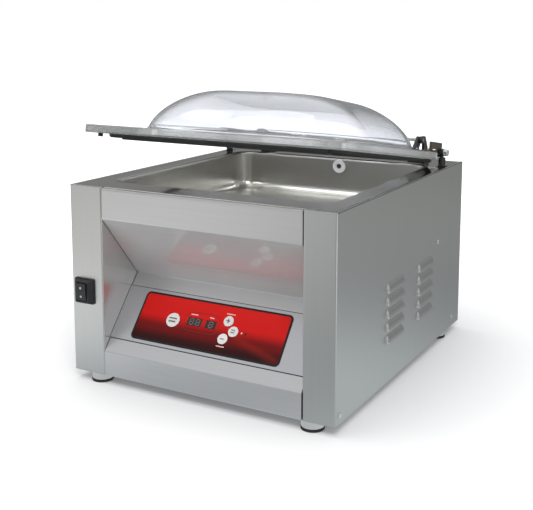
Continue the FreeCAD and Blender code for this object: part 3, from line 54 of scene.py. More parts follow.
# ------------------------------------------------------------------ places on the object, in mm
right_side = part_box("side_panel_right")
FRONT = right_side[0][1] / MM
BACK = right_side[1][1] / MM
BASE = right_side[0][2] / MM
HALF_WIDTH = 240.0
CASING_HEIGHT = 313.0
TOP = BASE + CASING_HEIGHT
LEFT_POST = 63.5
RIGHT_POST = 53.5
RECESS_LEFT = LEFT_POST - HALF_WIDTH
RECESS_RIGHT = HALF_WIDTH - RIGHT_POST
RECESS_WIDTH = RECESS_RIGHT - RECESS_LEFT
RECESS_CENTRE = (RECESS_LEFT + RECESS_RIGHT) / 2
RECESS_REAR = FRONT + 98.0

joints = {joint["name"]: joint for joint in frame["record"]["behaviour"]["joints"]}
HINGE_Y = joints["lid_hinge"]["pos_m"][1] / MM
HINGE_Z = joints["lid_hinge"]["pos_m"][2] / MM
REST_ANGLE = -joints["lid_hinge"]["range_deg"][0]

# The control slope falls from the back of the recess to the sill.
SLOPE_TOP = Vector((0, FRONT + 92.0, BASE + 153.0))
SLOPE_FOOT = Vector((0, FRONT - 1.2, BASE + 41.0))
SLOPE_DOWN = (SLOPE_FOOT - SLOPE_TOP).normalized()
SLOPE_NORMAL = Vector((0, SLOPE_DOWN.z, -SLOPE_DOWN.y))

# How far faces stand out of the slope's sheet.
SHEET_FACE = 0.02
DISPLAY_FACE = 1.6
PANEL_FACE = 1.8
BUTTON_FACE = 3.95

# Where the overlay's print begins and ends, down the slope.
PRINT_TOP = 33
PRINT_FOOT = 113

# Turns that stand a flat plate up: its own z points to the right, to the front, or out of the slope.
FACING_SIDE = Matrix(((0, 0, 1), (1, 0, 0), (0, 1, 0)))
FACING_FRONT = Matrix(((1, 0, 0), (0, 0, -1), (0, 1, 0)))
FACING_SLOPE = Matrix(((1, 0, 0), -SLOPE_DOWN, SLOPE_NORMAL)).transposed()


def on_slope(across, along, lift):
    """A point on the control slope, from the casing's left side and from the slope's top."""
    return SLOPE_TOP + SLOPE_DOWN * along + SLOPE_NORMAL * lift + Vector((across - HALF_WIDTH, 0, 0))


def placed(centre, turn):
    """From a plate's own frame, in mm, to its place on the object, in metres."""
    return Matrix.Scale(MM, 4) @ Matrix.Translation(centre) @ turn.to_4x4()


# ------------------------------------------------------------------ node helpers
class Graph:
    """A short way to write shader node trees."""

    def __init__(self, tree):
        self.tree = tree

    def add(self, kind, **settings):
        node = self.tree.nodes.new(kind)
        for key, value in settings.items():
            setattr(node, key, value)
        return node

    def link(self, a, b):
        self.tree.links.new(a, b)

    def feed(self, value, socket):
        """Links a socket to another one, or gives it a fixed number or colour."""
        if isinstance(value, bpy.types.NodeSocket):
            self.link(value, socket)
        else:
            socket.default_value = value

    def math(self, operation, *values):
        node = self.add("ShaderNodeMath", operation=operation)
        for value, socket in zip(values, node.inputs):
            self.feed(value, socket)
        return node.outputs[0]

    def mix(self, kind, factor, a, b, **settings):
        """Between a and b; kind is FLOAT for numbers and RGBA for colours."""
        node = self.add("ShaderNodeMix", data_type=kind, **settings)
        for value, name in ((factor, "Factor"), (a, "A"), (b, "B")):
            self.feed(value, node.inputs[name])
        return node.outputs["Result"]

    def mix_shader(self, factor, a, b):
        node = self.add("ShaderNodeMixShader")
        for value, socket in zip((factor, a, b), node.inputs):
            self.link(value, socket)
        return node.outputs[0]

    def glow(self, kind, colour, strength):
        """A lamp-like shader: an emission, or a world's background."""
        node = self.add(kind)
        self.feed(colour, node.inputs["Color"])
        self.feed(strength, node.inputs["Strength"])
        return node.outputs[0]

    def position(self):
        return self.add("ShaderNodeTexCoord").outputs["Object"]

    def split(self, vector):
        node = self.add("ShaderNodeSeparateXYZ")
        self.link(vector, node.inputs[0])
        return node.outputs

    def stretched(self, scale):
        node = self.add("ShaderNodeMapping")
        node.inputs["Scale"].default_value = scale
        self.link(self.position(), node.inputs["Vector"])
        return node.outputs[0]

    def noise(self, vector, scale, detail=3.0, roughness=0.5):
        node = self.add("ShaderNodeTexNoise")
        node.inputs["Scale"].default_value = scale
        node.inputs["Detail"].default_value = detail
        node.inputs["Roughness"].default_value = roughness
        self.link(vector, node.inputs["Vector"])
        return node.outputs["Fac"]

    def ramp(self, factor, stops, interpolation="LINEAR"):
        """Stops are places with a grey level or a colour."""
        node = self.add("ShaderNodeValToRGB")
        node.color_ramp.interpolation = interpolation
        elements = node.color_ramp.elements
        while len(elements) < len(stops):
            elements.new(0.5)
        for element, (place, colour) in zip(elements, stops):
            element.position = place
            if isinstance(colour, (int, float)):
                colour = (colour, colour, colour)
            element.color = (*colour, 1.0)
        self.link(factor, node.inputs[0])
        return node.outputs[0]

    def spread(self, factor, low, high):
        node = self.add("ShaderNodeMapRange")
        node.inputs["To Min"].default_value = low
        node.inputs["To Max"].default_value = high
        self.link(factor, node.inputs["Value"])
        return node.outputs[0]

    def bump(self, height, strength, distance, fold=0.0):
        """Fold is the radius, in metres, that softens sharp sheet folds in the shading."""
        node = self.add("ShaderNodeBump")
        if fold:
            soft = self.add("ShaderNodeBevel", samples=6)
            soft.inputs["Radius"].default_value = fold
            self.link(soft.outputs[0], node.inputs["Normal"])
        node.inputs["Strength"].default_value = strength
        node.inputs["Distance"].default_value = distance
        self.link(height, node.inputs["Height"])
        return node.outputs[0]


def new_material(name, **values):
    """A material with a Principled shader whose uniform values are set on its own sockets."""
    material = bpy.data.materials.new(name)
    material.use_nodes = True
    shader = material.node_tree.nodes["Principled BSDF"]
    for key, value in values.items():
        if isinstance(value, tuple):
            value = (*value, 1.0)
        shader.inputs[key.replace("_", " ")].default_value = value
    return material, shader, Graph(material.node_tree)


def shades(colour, tint):
    """The colour a little darker and a little lighter."""
    low = tuple(c * (1 - tint) for c in colour)
    high = tuple(min(c * (1 + tint), 1.0) for c in colour)
    return low, high


# ------------------------------------------------------------------ finishes
FOLD = 0.0022
GRAIN_DEPTH = 0.0002
GRAIN = {"X": (6, 320, 320), "Y": (320, 6, 320), "Z": (320, 320, 6)}
TUB_GRAIN = (6, 6, 140)


def grained(g, shader, stretch, low, high, share=0.65, clouds=9.0, detail=4.0, roughness=0.65):
    """Colours brushed metal by drawn-out lines and faint broad clouding.  Gives back the lines,
    and the lines with the clouding."""
    lines = g.noise(g.stretched(stretch), 1.0, detail, roughness)
    broad = g.noise(g.position(), clouds, 2.0)
    mixed = g.math("ADD", g.math("MULTIPLY", lines, share), g.math("MULTIPLY", broad, 1 - share))
    g.link(g.ramp(mixed, [(0.3, low), (0.7, high)]), shader.inputs["Base Color"])
    return lines, mixed


def steel(name, colour, roughness, grain_axis, tint=0.03, bump=0.05):
    """Brushed metal: fine grain drawn out along one axis."""
    material, shader, g = new_material(name, Metallic=1.0)
    lines, mixed = grained(g, shader, GRAIN[grain_axis], *shades(colour, tint))
    g.link(g.spread(mixed, roughness * 0.82, roughness * 1.18), shader.inputs["Roughness"])
    g.link(g.bump(lines, bump, GRAIN_DEPTH), shader.inputs["Normal"])
    return material


def plastic(name, colour, roughness, texture=500.0, bump=0.08, metallic=0.0, coat=0.0, tint=0.08):
    """Moulded, printed or lacquered surface with a fine grain and small changes of shade."""
    material, shader, g = new_material(name, Metallic=metallic, Coat_Weight=coat)
    fine = g.noise(g.position(), texture, 3.0)
    broad = g.noise(g.position(), 25.0, 2.0)
    low, high = shades(colour, tint)
    g.link(g.ramp(broad, [(0.3, low), (0.7, high)]), shader.inputs["Base Color"])
    g.link(g.spread(fine, roughness * 0.85, roughness * 1.15), shader.inputs["Roughness"])
    g.link(g.bump(fine, bump, 0.0003), shader.inputs["Normal"])
    return material


def inside_recess(g):
    """1 on the cheeks of the recess, 0 on the outer faces of a side panel."""
    x, y, _ = g.split(g.position())
    offset = g.math("SUBTRACT", x, RECESS_CENTRE * MM)
    inner = g.math("LESS_THAN", g.math("ABSOLUTE", offset), (RECESS_WIDTH / 2 + 0.4) * MM)
    return g.math("MULTIPLY", inner, g.math("LESS_THAN", y, RECESS_REAR * MM))


def case_material(name, colour, roughness):
    """Side sheet: upright grain outside, and a smoother finish on the cheek of the recess."""
    material, shader, g = new_material(name)
    lines, mixed = grained(g, shader, GRAIN["Z"], *shades(colour, 0.03), clouds=7.0)
    cheek = inside_recess(g)
    outer = g.spread(mixed, roughness * 0.85, roughness * 1.15)
    g.link(g.mix("FLOAT", cheek, outer, g.spread(mixed, 0.20, 0.28)), shader.inputs["Roughness"])
    g.link(g.math("SUBTRACT", 1.0, g.math("MULTIPLY", cheek, 0.25)), shader.inputs["Metallic"])
    g.link(g.bump(lines, 0.04, GRAIN_DEPTH, FOLD), shader.inputs["Normal"])
    return material


def fascia_material():
    """The header and sill are brushed.  The sloping ceiling of the recess has a softer, paler
    finish under a thin clear film, in which the panel below shows weakly."""
    material, shader, g = new_material("fascia_brushed", Coat_Roughness=0.04, Coat_IOR=1.6)
    lines, mixed = grained(g, shader, GRAIN["X"], (0.63, 0.63, 0.63), (0.69, 0.69, 0.69))
    normal = g.add("ShaderNodeNewGeometry").outputs["Normal"]
    ceiling = g.math("LESS_THAN", g.split(normal)[2], -0.3)
    roughness = g.math("ADD", g.spread(mixed, 0.29, 0.41), g.math("MULTIPLY", ceiling, 0.2))
    g.link(ceiling, shader.inputs["Coat Weight"])
    g.link(g.math("SUBTRACT", 1.0, g.math("MULTIPLY", ceiling, 0.9)), shader.inputs["Metallic"])
    g.link(roughness, shader.inputs["Roughness"])
    g.link(g.bump(lines, 0.04, GRAIN_DEPTH, FOLD), shader.inputs["Normal"])
    return material


def tub_material():
    """Polished sheet: the flat rim is close to a mirror, and the drawn pan below it is softer."""
    material, shader, g = new_material("tub_polished", Metallic=1.0)
    lines, mixed = grained(g, shader, TUB_GRAIN, (0.58, 0.57, 0.535), (0.62, 0.61, 0.575),
                           share=0.5, detail=3.0, roughness=0.6)
    rim = g.math("GREATER_THAN", g.split(g.position())[2], (TOP - 1.0) * MM)
    roughness = g.mix("FLOAT", rim, g.spread(mixed, 0.22, 0.30), g.spread(mixed, 0.07, 0.12))
    g.link(roughness, shader.inputs["Roughness"])
    g.link(g.bump(lines, 0.01, GRAIN_DEPTH), shader.inputs["Normal"])
    return material


def membrane_material():
    """Printed membrane: bright red above, sinking to near black below, with a lighter beam that
    widens towards the lower right."""
    material, shader, g = new_material("membrane_print", Roughness=0.35, Specular_IOR_Level=0.08)
    x, _, z = g.split(g.position())
    high = on_slope(0, PRINT_TOP, 0).z * MM
    low = on_slope(0, PRINT_FOOT, 0).z * MM
    down = g.math("MULTIPLY", g.math("SUBTRACT", high, z), 1 / (high - low))
    red = g.ramp(down, [(0.0, (0.55, 0.014, 0.012)), (0.38, (0.50, 0.010, 0.009)),
                        (0.66, (0.12, 0.006, 0.006)), (0.9, (0.025, 0.006, 0.006))], "EASE")
    across = g.math("MULTIPLY_ADD", x, 1 / 0.11, -0.35)
    below_beam = g.math("SUBTRACT", down, g.math("MULTIPLY_ADD", across, 0.42, 0.50))
    profile = g.math("MULTIPLY_ADD", below_beam, 2.6, 0.5)
    upper_edge = g.ramp(profile, [(0.40, 0.0), (0.6, 1.0)])
    lower_edge = g.ramp(profile, [(0.65, 1.0), (1.0, 0.0)])
    length = g.ramp(across, [(0.0, 0.0), (0.12, 1.0), (0.75, 1.0), (1.0, 0.4)])
    width = g.math("MULTIPLY", upper_edge, lower_edge)
    beam = g.math("MULTIPLY", width, g.math("MULTIPLY", length, 0.22))
    g.link(g.mix("RGBA", beam, red, (0.36, 0.02, 0.012, 1.0)), shader.inputs["Base Color"])
    g.link(g.bump(g.noise(g.position(), 900.0, 2.0), 0.03, GRAIN_DEPTH), shader.inputs["Normal"])
    return material


def display_material():
    material, shader, g = new_material("display_block", Roughness=0.2)
    fine = g.noise(g.position(), 200.0, 2.0)
    dark = [(0.3, (0.012, 0.006, 0.006)), (0.7, (0.02, 0.01, 0.01))]
    g.link(g.ramp(fine, dark), shader.inputs["Base Color"])
    return material


def clear_material(name, colour, roughness, ior, clearness):
    """Clear plastic; what clearness leaves out of 1 is a faint white haze."""
    material, shader, g = new_material(name, Base_Color=colour, Transmission_Weight=clearness, IOR=ior)
    wear = g.noise(g.position(), 60.0, 3.0)
    g.link(g.spread(wear, roughness, roughness + 0.02), shader.inputs["Roughness"])
    return material


# Painted light and shade: one side sheet finish in two copies, the left painted lighter and the right
# painted darker.
case_left = case_material("case_left_brushed_painted_lit", (0.61, 0.61, 0.60), 0.34)
case_right = case_material("case_right_brushed_painted_shade", (0.555, 0.57, 0.56), 0.34)
case_rear = steel("case_rear_sheet", (0.52, 0.53, 0.54), 0.42, "X")
fascia = fascia_material()
control_face = steel("control_plate_brushed", (0.60, 0.60, 0.615), 0.33, "X")
tub = tub_material()
screws = steel("screws_bright", (0.72, 0.72, 0.72), 0.25, "X")
# Painted reflection: the clamp's dark bronze tone stands in for a bronze-coloured reflection seen on it.
clamp = steel("clamp_painted_reflection", (0.16, 0.13, 0.10), 0.3, "Y")
shaft = steel("turned_steel", (0.62, 0.62, 0.63), 0.25, "X")
aluminium = steel("anodised_aluminium", (0.7, 0.71, 0.72), 0.35, "X")
chrome_cup = steel("foot_cup_bright", (0.75, 0.75, 0.74), 0.12, "Z", 0.02, 0.01)
stud = steel("stud_bright", (0.82, 0.82, 0.82), 0.15, "X", 0.02, 0.01)
rod = steel("rod_chrome", (0.8, 0.8, 0.8), 0.08, "Z", 0.01, 0.005)
black = plastic("switch_black", (0.012, 0.012, 0.014), 0.42)
hinge_black = plastic("hinge_black", (0.014, 0.014, 0.014), 0.38)
tube_black = plastic("tube_black_lacquer", (0.01, 0.01, 0.011), 0.22, coat=0.3)
rubber = plastic("foot_rubber", (0.012, 0.012, 0.012), 0.62, 300.0, 0.15)
gasket = plastic("gasket_rubber", (0.02, 0.02, 0.022), 0.55, 300.0, 0.1)
counter = plastic("counter_bar_black", (0.015, 0.015, 0.016), 0.4)
silicone = plastic("silicone_pad", (0.04, 0.04, 0.042), 0.5)
white = plastic("fitting_white", (0.82, 0.82, 0.82), 0.4)
button = plastic("button_cap", (0.60, 0.59, 0.575), 0.35, 600.0, 0.03, tint=0.02)
board = plastic("printed_board", (0.03, 0.2, 0.08), 0.5)
hose = plastic("hose_black", (0.02, 0.02, 0.02), 0.55)
brass = plastic("valve_brass", (0.7, 0.52, 0.24), 0.35, metallic=1.0)
casting = plastic("pump_enamel", (0.16, 0.17, 0.19), 0.45, 120.0, 0.3)
iron = plastic("transformer_core", (0.09, 0.09, 0.1), 0.5)
inlet = plastic("inlet_black", (0.014, 0.014, 0.014), 0.45)
tape = plastic("band_tape", (0.45, 0.32, 0.18), 0.6, 900.0, 0.3)
membrane = membrane_material()
display = display_material()
dome_clear = clear_material("dome_clear", (0.948, 0.965, 0.999), 0.0, 1.36, 0.94)
flange_clear = clear_material("flange_clear", (0.74, 0.755, 0.75), 0.18, 1.46, 0.8)
ink_dark = plastic("ink_dark", (0.004, 0.003, 0.003), 0.6)
ink_pale = plastic("ink_pale", (0.70, 0.46, 0.38), 0.4)
ink_grey = plastic("ink_grey", (0.16, 0.13, 0.13), 0.45)
ink_wine = plastic("ink_wine", (0.11, 0.004, 0.005), 0.4)
segment = plastic("segment_unlit", (0.12, 0.10, 0.10), 0.4)
ink_grey_pale = plastic("ink_grey_pale", (0.42, 0.44, 0.45), 0.45)
# Painted shade: near black for the strips and the disc put where there is only shadow, in gaps and in the
# port's bore.
painted_shade_dark = plastic("shadow_paint_black", (0.03, 0.03, 0.032), 0.7)

# A node takes the finish of the longest key that its name starts with.
FINISHES = {
    "side_panel_left": case_left, "side_panel_right": case_right, "front_fascia": fascia,
    "control_plate": control_face, "rear_panel": case_rear, "base_tray": case_rear,
    "chamber_tub": tub, "keypad_overlay": membrane, "display_module": display,
    "start_button": button, "plus_button": button, "set_button": button, "minus_button": button,
    "main_switch": black, "suction_port": white, "suction_pipe": hose, "vacuum_valve": brass,
    "vacuum_pump": casting, "pump_motor": casting, "pump_buffers": rubber, "lid_buffers": rubber,
    "seal_transformer": iron, "control_board": board, "power_inlet": inlet, "panel_screws": screws,
    "lid_bolts": screws, "seal_bar": aluminium, "seal_bar_piston": shaft, "seal_band": tape,
    "seal_cylinder": aluminium, "hinge_shaft": shaft, "hinge_bracket": hinge_black,
    "lid_hinge_arm": hinge_black, "lid_dome": dome_clear, "lid_gasket": gasket, "lid_clamp": clamp,
    "lid_stud": stud, "counter_bar": counter, "counter_bar_pad": silicone, "foot_cup": chrome_cup,
    "foot_pad": rubber, "spring_anchor": shaft, "gas_spring_tube": tube_black,
    "gas_spring_rod": rod,
}
for name, node in nodes.items():
    key = max((start for start in FINISHES if name.startswith(start)), key=len)
    node.data.materials.clear()
    node.data.materials.append(FINISHES[key])


# ------------------------------------------------------------------ mesh helpers
def mesh_object(name, bm, material):
    """The object made from a bmesh, which is used up."""
    mesh = bpy.data.meshes.new(name)
    bm.to_mesh(mesh)
    bm.free()
    mesh.materials.append(material)
    piece = bpy.data.objects.new(name, mesh)
    scene.collection.objects.link(piece)
    return piece


def new_piece(name, bm, material, body):
    """An object that takes its finish from a slot and rides on a body."""
    piece = mesh_object(name, bm, material)
    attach(piece, body)
    return piece


def new_ring(bm, points, z):
    return [bm.verts.new((x, y, z)) for x, y in points]


def bridge(bm, rings):
    """Quads from each ring to the next.  All have as many vertices."""
    for low, high in zip(rings, rings[1:]):
        for i in range(len(low)):
            bm.faces.new((low[i - 1], low[i], high[i], high[i - 1]))


def arc(centre, radius, start, end, steps):
    """Points on a circle, both ends among them; the angles are in degrees."""
    angles = [math.radians(start + (end - start) * k / steps) for k in range(steps + 1)]
    return [(centre[0] + radius * math.cos(a), centre[1] + radius * math.sin(a)) for a in angles]


def disc_loop(radius, count):
    return arc((0, 0), radius, 0, 360, count)[:-1]


def corner_points(corner, before, after, radius, steps=6):
    """Arc that rounds one corner of an outline."""
    c = Vector(corner)
    u = (Vector(before) - c).normalized()
    v = (Vector(after) - c).normalized()
    half = u.angle(v) / 2
    centre = c + (u + v).normalized() * (radius / math.sin(half))
    start = (c + u * (radius / math.tan(half)) - centre).normalized()
    end = (c + v * (radius / math.tan(half)) - centre).normalized()
    return [tuple(centre + start.slerp(end, k / steps) * radius) for k in range(steps + 1)]


def rounded_outline(corners, radii):
    """Loop through corners that run anticlockwise, each with its own radius."""
    points = []
    for i, (corner, radius) in enumerate(zip(corners, radii)):
        points += corner_points(corner, corners[i - 1], corners[(i + 1) % len(corners)], radius)
    return points


def rounded_box(width, height, radius):
    x = width / 2
    y = height / 2
    return rounded_outline([(-x, -y), (x, -y), (x, y), (-x, y)], [radius] * 4)


def inward(points, distance):
    """The loop, which runs anticlockwise, moved in by a distance."""
    moved = []
    for i, point in enumerate(points):
        here = Vector(point)
        before = (here - Vector(points[i - 1])).normalized()
        after = (Vector(points[(i + 1) % len(points)]) - here).normalized()
        along = before + after
        side = Vector((-along.y, along.x)).normalized()
        lean = max(side.dot(Vector((-before.y, before.x))), 0.4)
        moved.append(here + side * (distance / lean))
    return moved


def add_plate(bm, loops, thickness, edge, matrix):
    """Adds a flat plate with holes.  The first loop is its outside, every loop runs
    anticlockwise, and edge is the radius that rounds its edges."""
    steps = 3
    profile = []
    for k in range(steps + 1):
        a = math.radians(90.0 * k / steps)
        profile.append((edge * (1 - math.sin(a)), thickness / 2 - edge * (1 - math.cos(a))))
    profile = [(inset, -z) for inset, z in profile] + profile[::-1]
    made = []
    ends = ([], [])
    for number, points in enumerate(loops):
        side = -1 if number else 1
        rings = [new_ring(bm, inward(points, side * inset), z) for inset, z in profile]
        bridge(bm, rings)
        ends[0].append(rings[0])
        ends[1].append(rings[-1])
        made += [vertex for ring in rings for vertex in ring]
    for rings in ends:
        corners = [vertex for ring in rings for vertex in ring]
        for triangle in tessellate_polygon([[vertex.co for vertex in ring] for ring in rings]):
            bm.faces.new([corners[i] for i in triangle])
    bmesh.ops.recalc_face_normals(bm, faces=bm.faces)
    bmesh.ops.transform(bm, matrix=matrix, verts=made)


# ------------------------------------------------------------------ the clear lid
FLANGE_HALF_WIDTH = 236.0
FLANGE_FRONT = FRONT + 30.3
FLANGE_REAR = HINGE_Y + 2.0
FLANGE_BOTTOM = TOP + 6.0
FLANGE_THICKNESS = 13.0
FLANGE_TOP = FLANGE_BOTTOM + FLANGE_THICKNESS
FLANGE_EDGE = 1.2
FLANGE_FRONT_CORNER = 10.0
FLANGE_REAR_CORNER = 3.0
NOTCH_HALF_WIDTH = 219.0
NOTCH_FRONT = HINGE_Y - 80.0
NOTCH_CORNER = 8.0
DOME_FRONT = FLANGE_FRONT + 38.0
DOME_REAR = FLANGE_REAR - 20.0
DOME_HALF_WIDTH = FLANGE_HALF_WIDTH - 30.0
DOME_HALF_LENGTH = (DOME_REAR - DOME_FRONT) / 2
DOME_CENTRE = DOME_FRONT + DOME_HALF_LENGTH
DOME_FRONT_CORNER = 136.0
DOME_REAR_CORNER = 118.0
DOME_HEIGHT = 75.5
DOME_WALL = 5.0
DOME_FLARE = 5.0
DOME_FLARE_RISE = 2.2
DOME_SHOULDER = 103.0
DOME_ROUNDNESS = 1.62
DOME_CORNER_HOLD = 0.7
DOME_LEVELS = 26
CROWN_RINGS = (0.8, 0.6, 0.4, 0.2)
CORNER_STEPS = 14
STRAIGHT_STEPS = 6
LEAST_STRAIGHT = 2.0


def lid_matrix():
    """From the closed lid's frame, in mm, to the resting lid, in metres."""
    pivot = Vector((0, HINGE_Y, HINGE_Z)) * MM
    turn = Matrix.Rotation(math.radians(-REST_ANGLE), 4, "X")
    return Matrix.Translation(pivot) @ turn @ Matrix.Translation(-pivot) @ Matrix.Scale(MM, 4)


def dome_loop(shrink, inset):
    """One level of the dome: the corners lose less than the sides as it closes in.  Every level
    has as many points, so that levels can be joined."""
    x = DOME_HALF_WIDTH - shrink - inset
    y = DOME_HALF_LENGTH - shrink - inset
    loss = shrink + DOME_CORNER_HOLD * inset
    front = min(DOME_FRONT_CORNER - loss, x - LEAST_STRAIGHT, y - LEAST_STRAIGHT)
    rear = min(DOME_REAR_CORNER - loss, x - LEAST_STRAIGHT, y - LEAST_STRAIGHT)
    corners = ((x - rear, y - rear, rear), (rear - x, y - rear, rear),
               (front - x, front - y, front), (x - front, front - y, front))
    arcs = []
    for quarter, (across, back, radius) in enumerate(corners):
        turn = 90 * quarter
        arcs.append(arc((across, DOME_CENTRE + back), radius, turn, turn + 90, CORNER_STEPS))
    points = []
    for here, following in zip(arcs, arcs[1:] + arcs[:1]):
        points += here
        start = Vector(here[-1])
        end = Vector(following[0])
        points += [tuple(start.lerp(end, k / STRAIGHT_STEPS)) for k in range(1, STRAIGHT_STEPS)]
    return points


def dome_skin(bm, shrink, height, flare, flip):
    """One skin of the dome, from its foot up to the crown.  Gives back the ring at its foot."""
    rings = []
    for i in range(DOME_LEVELS + 1):
        t = math.radians(90.0 * i / DOME_LEVELS)
        z = height * math.sin(t) ** (2 / DOME_ROUNDNESS)
        inset = DOME_SHOULDER * (1 - max(math.cos(t), 0.0) ** (2 / DOME_ROUNDNESS))
        points = dome_loop(shrink, inset - flare * math.exp(-z / DOME_FLARE_RISE))
        rings.append(new_ring(bm, points, FLANGE_TOP + z))
    # The crown closes in from the last level.
    top = FLANGE_TOP + height
    for share in CROWN_RINGS:
        inner = [(x * share, DOME_CENTRE + (y - DOME_CENTRE) * share) for x, y in points]
        rings.append(new_ring(bm, inner, top))
    bridge(bm, rings[::-1] if flip else rings)
    crown = bm.verts.new((0, DOME_CENTRE, top))
    last = rings[-1]
    for i in range(len(last)):
        triangle = (last[i - 1], last[i], crown)
        bm.faces.new(triangle[::-1] if flip else triangle)
    return rings[0]


def build_dome():
    """The shell: an outer and an inner skin, joined at the foot."""
    bm = bmesh.new()
    outer = dome_skin(bm, DOME_FLARE, DOME_HEIGHT, DOME_FLARE, False)
    inner = dome_skin(bm, DOME_FLARE + DOME_WALL, DOME_HEIGHT - DOME_WALL, 0.0, True)
    bridge(bm, [inner, outer])
    bmesh.ops.recalc_face_normals(bm, faces=bm.faces)
    bm.transform(lid_matrix())
    for face in bm.faces:
        face.smooth = True
    dome = mesh_object("dome_shell", bm, dome_clear)
    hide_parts("lid_dome")
    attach(dome, "lid")


def build_flange():
    """The plate round the dome's foot, notched at its rear corners for the clamps."""
    x = FLANGE_HALF_WIDTH
    notch = NOTCH_HALF_WIDTH
    corners = [(-x, FLANGE_FRONT), (x, FLANGE_FRONT), (x, NOTCH_FRONT), (notch, NOTCH_FRONT),
               (notch, FLANGE_REAR), (-notch, FLANGE_REAR), (-notch, NOTCH_FRONT), (-x, NOTCH_FRONT)]
    radii = [FLANGE_FRONT_CORNER, FLANGE_FRONT_CORNER, FLANGE_REAR_CORNER, NOTCH_CORNER,
             FLANGE_REAR_CORNER, FLANGE_REAR_CORNER, NOTCH_CORNER, FLANGE_REAR_CORNER]
    loops = [rounded_outline(corners, radii), dome_loop(DOME_FLARE + DOME_WALL, 0.0)]
    middle = (FLANGE_BOTTOM + FLANGE_TOP) / 2
    bm = bmesh.new()
    add_plate(bm, loops, FLANGE_THICKNESS, FLANGE_EDGE, lid_matrix() @ Matrix.Translation((0, 0, middle)))
    new_piece("lid_flange", bm, flange_clear, "lid")


build_dome()
build_flange()

# ------------------------------------------------------------------ trim
PRINT_THICKNESS = 0.1
PRINT_EDGE = 0.035
LINE_HEIGHT = 0.12
EDGE_SHARE = 0.3
DOT_RADIUS = 2.0
BORE_RADIUS = 4.4
BORE_INSET = 0.6


def slope_ring(name, across, along, width, height, radius, band, material):
    """A thin raised line round a rounded rectangle on the overlay."""
    outer = rounded_box(width, height, radius)
    inner = rounded_box(width - 2 * band, height - 2 * band, radius - band)
    bm = bmesh.new()
    high_out = new_ring(bm, outer, LINE_HEIGHT)
    high_in = new_ring(bm, inner, LINE_HEIGHT)
    low_in = new_ring(bm, inner, 0.0)
    low_out = new_ring(bm, outer, 0.0)
    bridge(bm, [high_out, high_in, low_in, low_out, high_out])
    bmesh.ops.recalc_face_normals(bm, faces=bm.faces)
    bm.transform(placed(on_slope(across, along, PANEL_FACE), FACING_SLOPE))
    new_piece(name, bm, material, "cabinet")


def slope_marks(name, bars, lift, material, body="cabinet", radius=None):
    """One piece of thin bars on the slope.  A bar is (across, along, width, height)."""
    bm = bmesh.new()
    for across, along, width, height in bars:
        loop = rounded_box(width, height, radius or min(width, height) * 0.3)
        matrix = placed(on_slope(across, along, lift + PRINT_THICKNESS / 2), FACING_SLOPE)
        add_plate(bm, [loop], PRINT_THICKNESS, PRINT_EDGE, matrix)
    new_piece(name, bm, material, body)


def paint_rim_shadows():
    """Painted shadow: a dark strip standing in for the shade between the tub's rim and the folded tops of
    the sheets below it.
    """
    depth = 0.16
    start = FRONT + 1
    end = BACK - 1
    for side, x in (("left", -HALF_WIDTH), ("right", HALF_WIDTH)):
        bm = bmesh.new()
        centre = Vector((x, (start + end) / 2, TOP - 1.0))
        loop = rounded_box(end - start, 1.0, 0.2)
        add_plate(bm, [loop], depth, depth * EDGE_SHARE, placed(centre, FACING_SIDE))
        new_piece(f"rim_painted_shadow_{side}", bm, painted_shade_dark, "cabinet")


def switch_dots():
    """Two pale dots, one on each end of the rocker, set on its face."""
    depth = 0.2
    rocker = nodes["main_switch_rocker"]
    low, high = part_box("main_switch_rocker")
    for name, share in (("switch_dot_upper", 0.74), ("switch_dot_lower", 0.24)):
        start = Vector(((low[0] + high[0]) / 2, low[1] - 0.02, low[2] + (high[2] - low[2]) * share))
        hit, place, normal, _ = rocker.ray_cast(start, Vector((0, 1, 0)))
        if not hit:
            continue
        turn = normal.to_track_quat("Z", "Y").to_matrix()
        bm = bmesh.new()
        add_plate(bm, [disc_loop(DOT_RADIUS, 24)], depth, depth * EDGE_SHARE, placed(place / MM, turn))
        new_piece(name, bm, ink_grey_pale, "rocker")


def bore_painted_shade():
    """Painted shadow: a dark disc in the middle of the suction port, standing in for the shade down its
    bore.
    """
    depth = 0.4
    low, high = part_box("suction_port")
    centre = Vector(((low[0] + high[0]) / 2, low[1], (low[2] + high[2]) / 2)) / MM
    centre.y += BORE_INSET
    bm = bmesh.new()
    add_plate(bm, [disc_loop(BORE_RADIUS, 30)], depth, depth * EDGE_SHARE, placed(centre, FACING_FRONT))
    new_piece("bore_painted_shade", bm, painted_shade_dark, "cabinet")


slope_ring("overlay_border", 239.75, 73.0, 275.5, 84.0, 8.0, 3.2, ink_dark)
slope_ring("display_surround", 223.0, 69.5, 66.0, 33.0, 12.0, 0.9, ink_wine)
# Painted shadows: dark strips standing in for the shade in the gaps above and below the control plate.
for name, along in (("gap_shadow_above_plate", 25.3), ("gap_shadow_below_plate", 120.7)):
    slope_marks(name, [(HALF_WIDTH + RECESS_CENTRE, along, RECESS_WIDTH - 2.4, 1.3)], SHEET_FACE,
                painted_shade_dark, radius=0.2)
paint_rim_shadows()
switch_dots()
bore_painted_shade()

# The seven segments of a digit: (across, up, width, height) from its middle.
SEGMENTS = ((0, 4.7, 5.0, 1.5), (0, 0, 5.0, 1.5), (0, -4.7, 5.0, 1.5), (-3.3, 2.4, 1.5, 3.7),
            (3.3, 2.4, 1.5, 3.7), (-3.3, -2.4, 1.5, 3.7), (3.3, -2.4, 1.5, 3.7))
DIGIT_ALONG = 69.5
for name, across in (("digit_tens", 204.5), ("digit_units", 215.8), ("digit_single", 240.5)):
    bars = [(across + x, DIGIT_ALONG - y, width, height) for x, y, width, height in SEGMENTS]
    slope_marks(name, bars, DISPLAY_FACE, segment, radius=0.4)

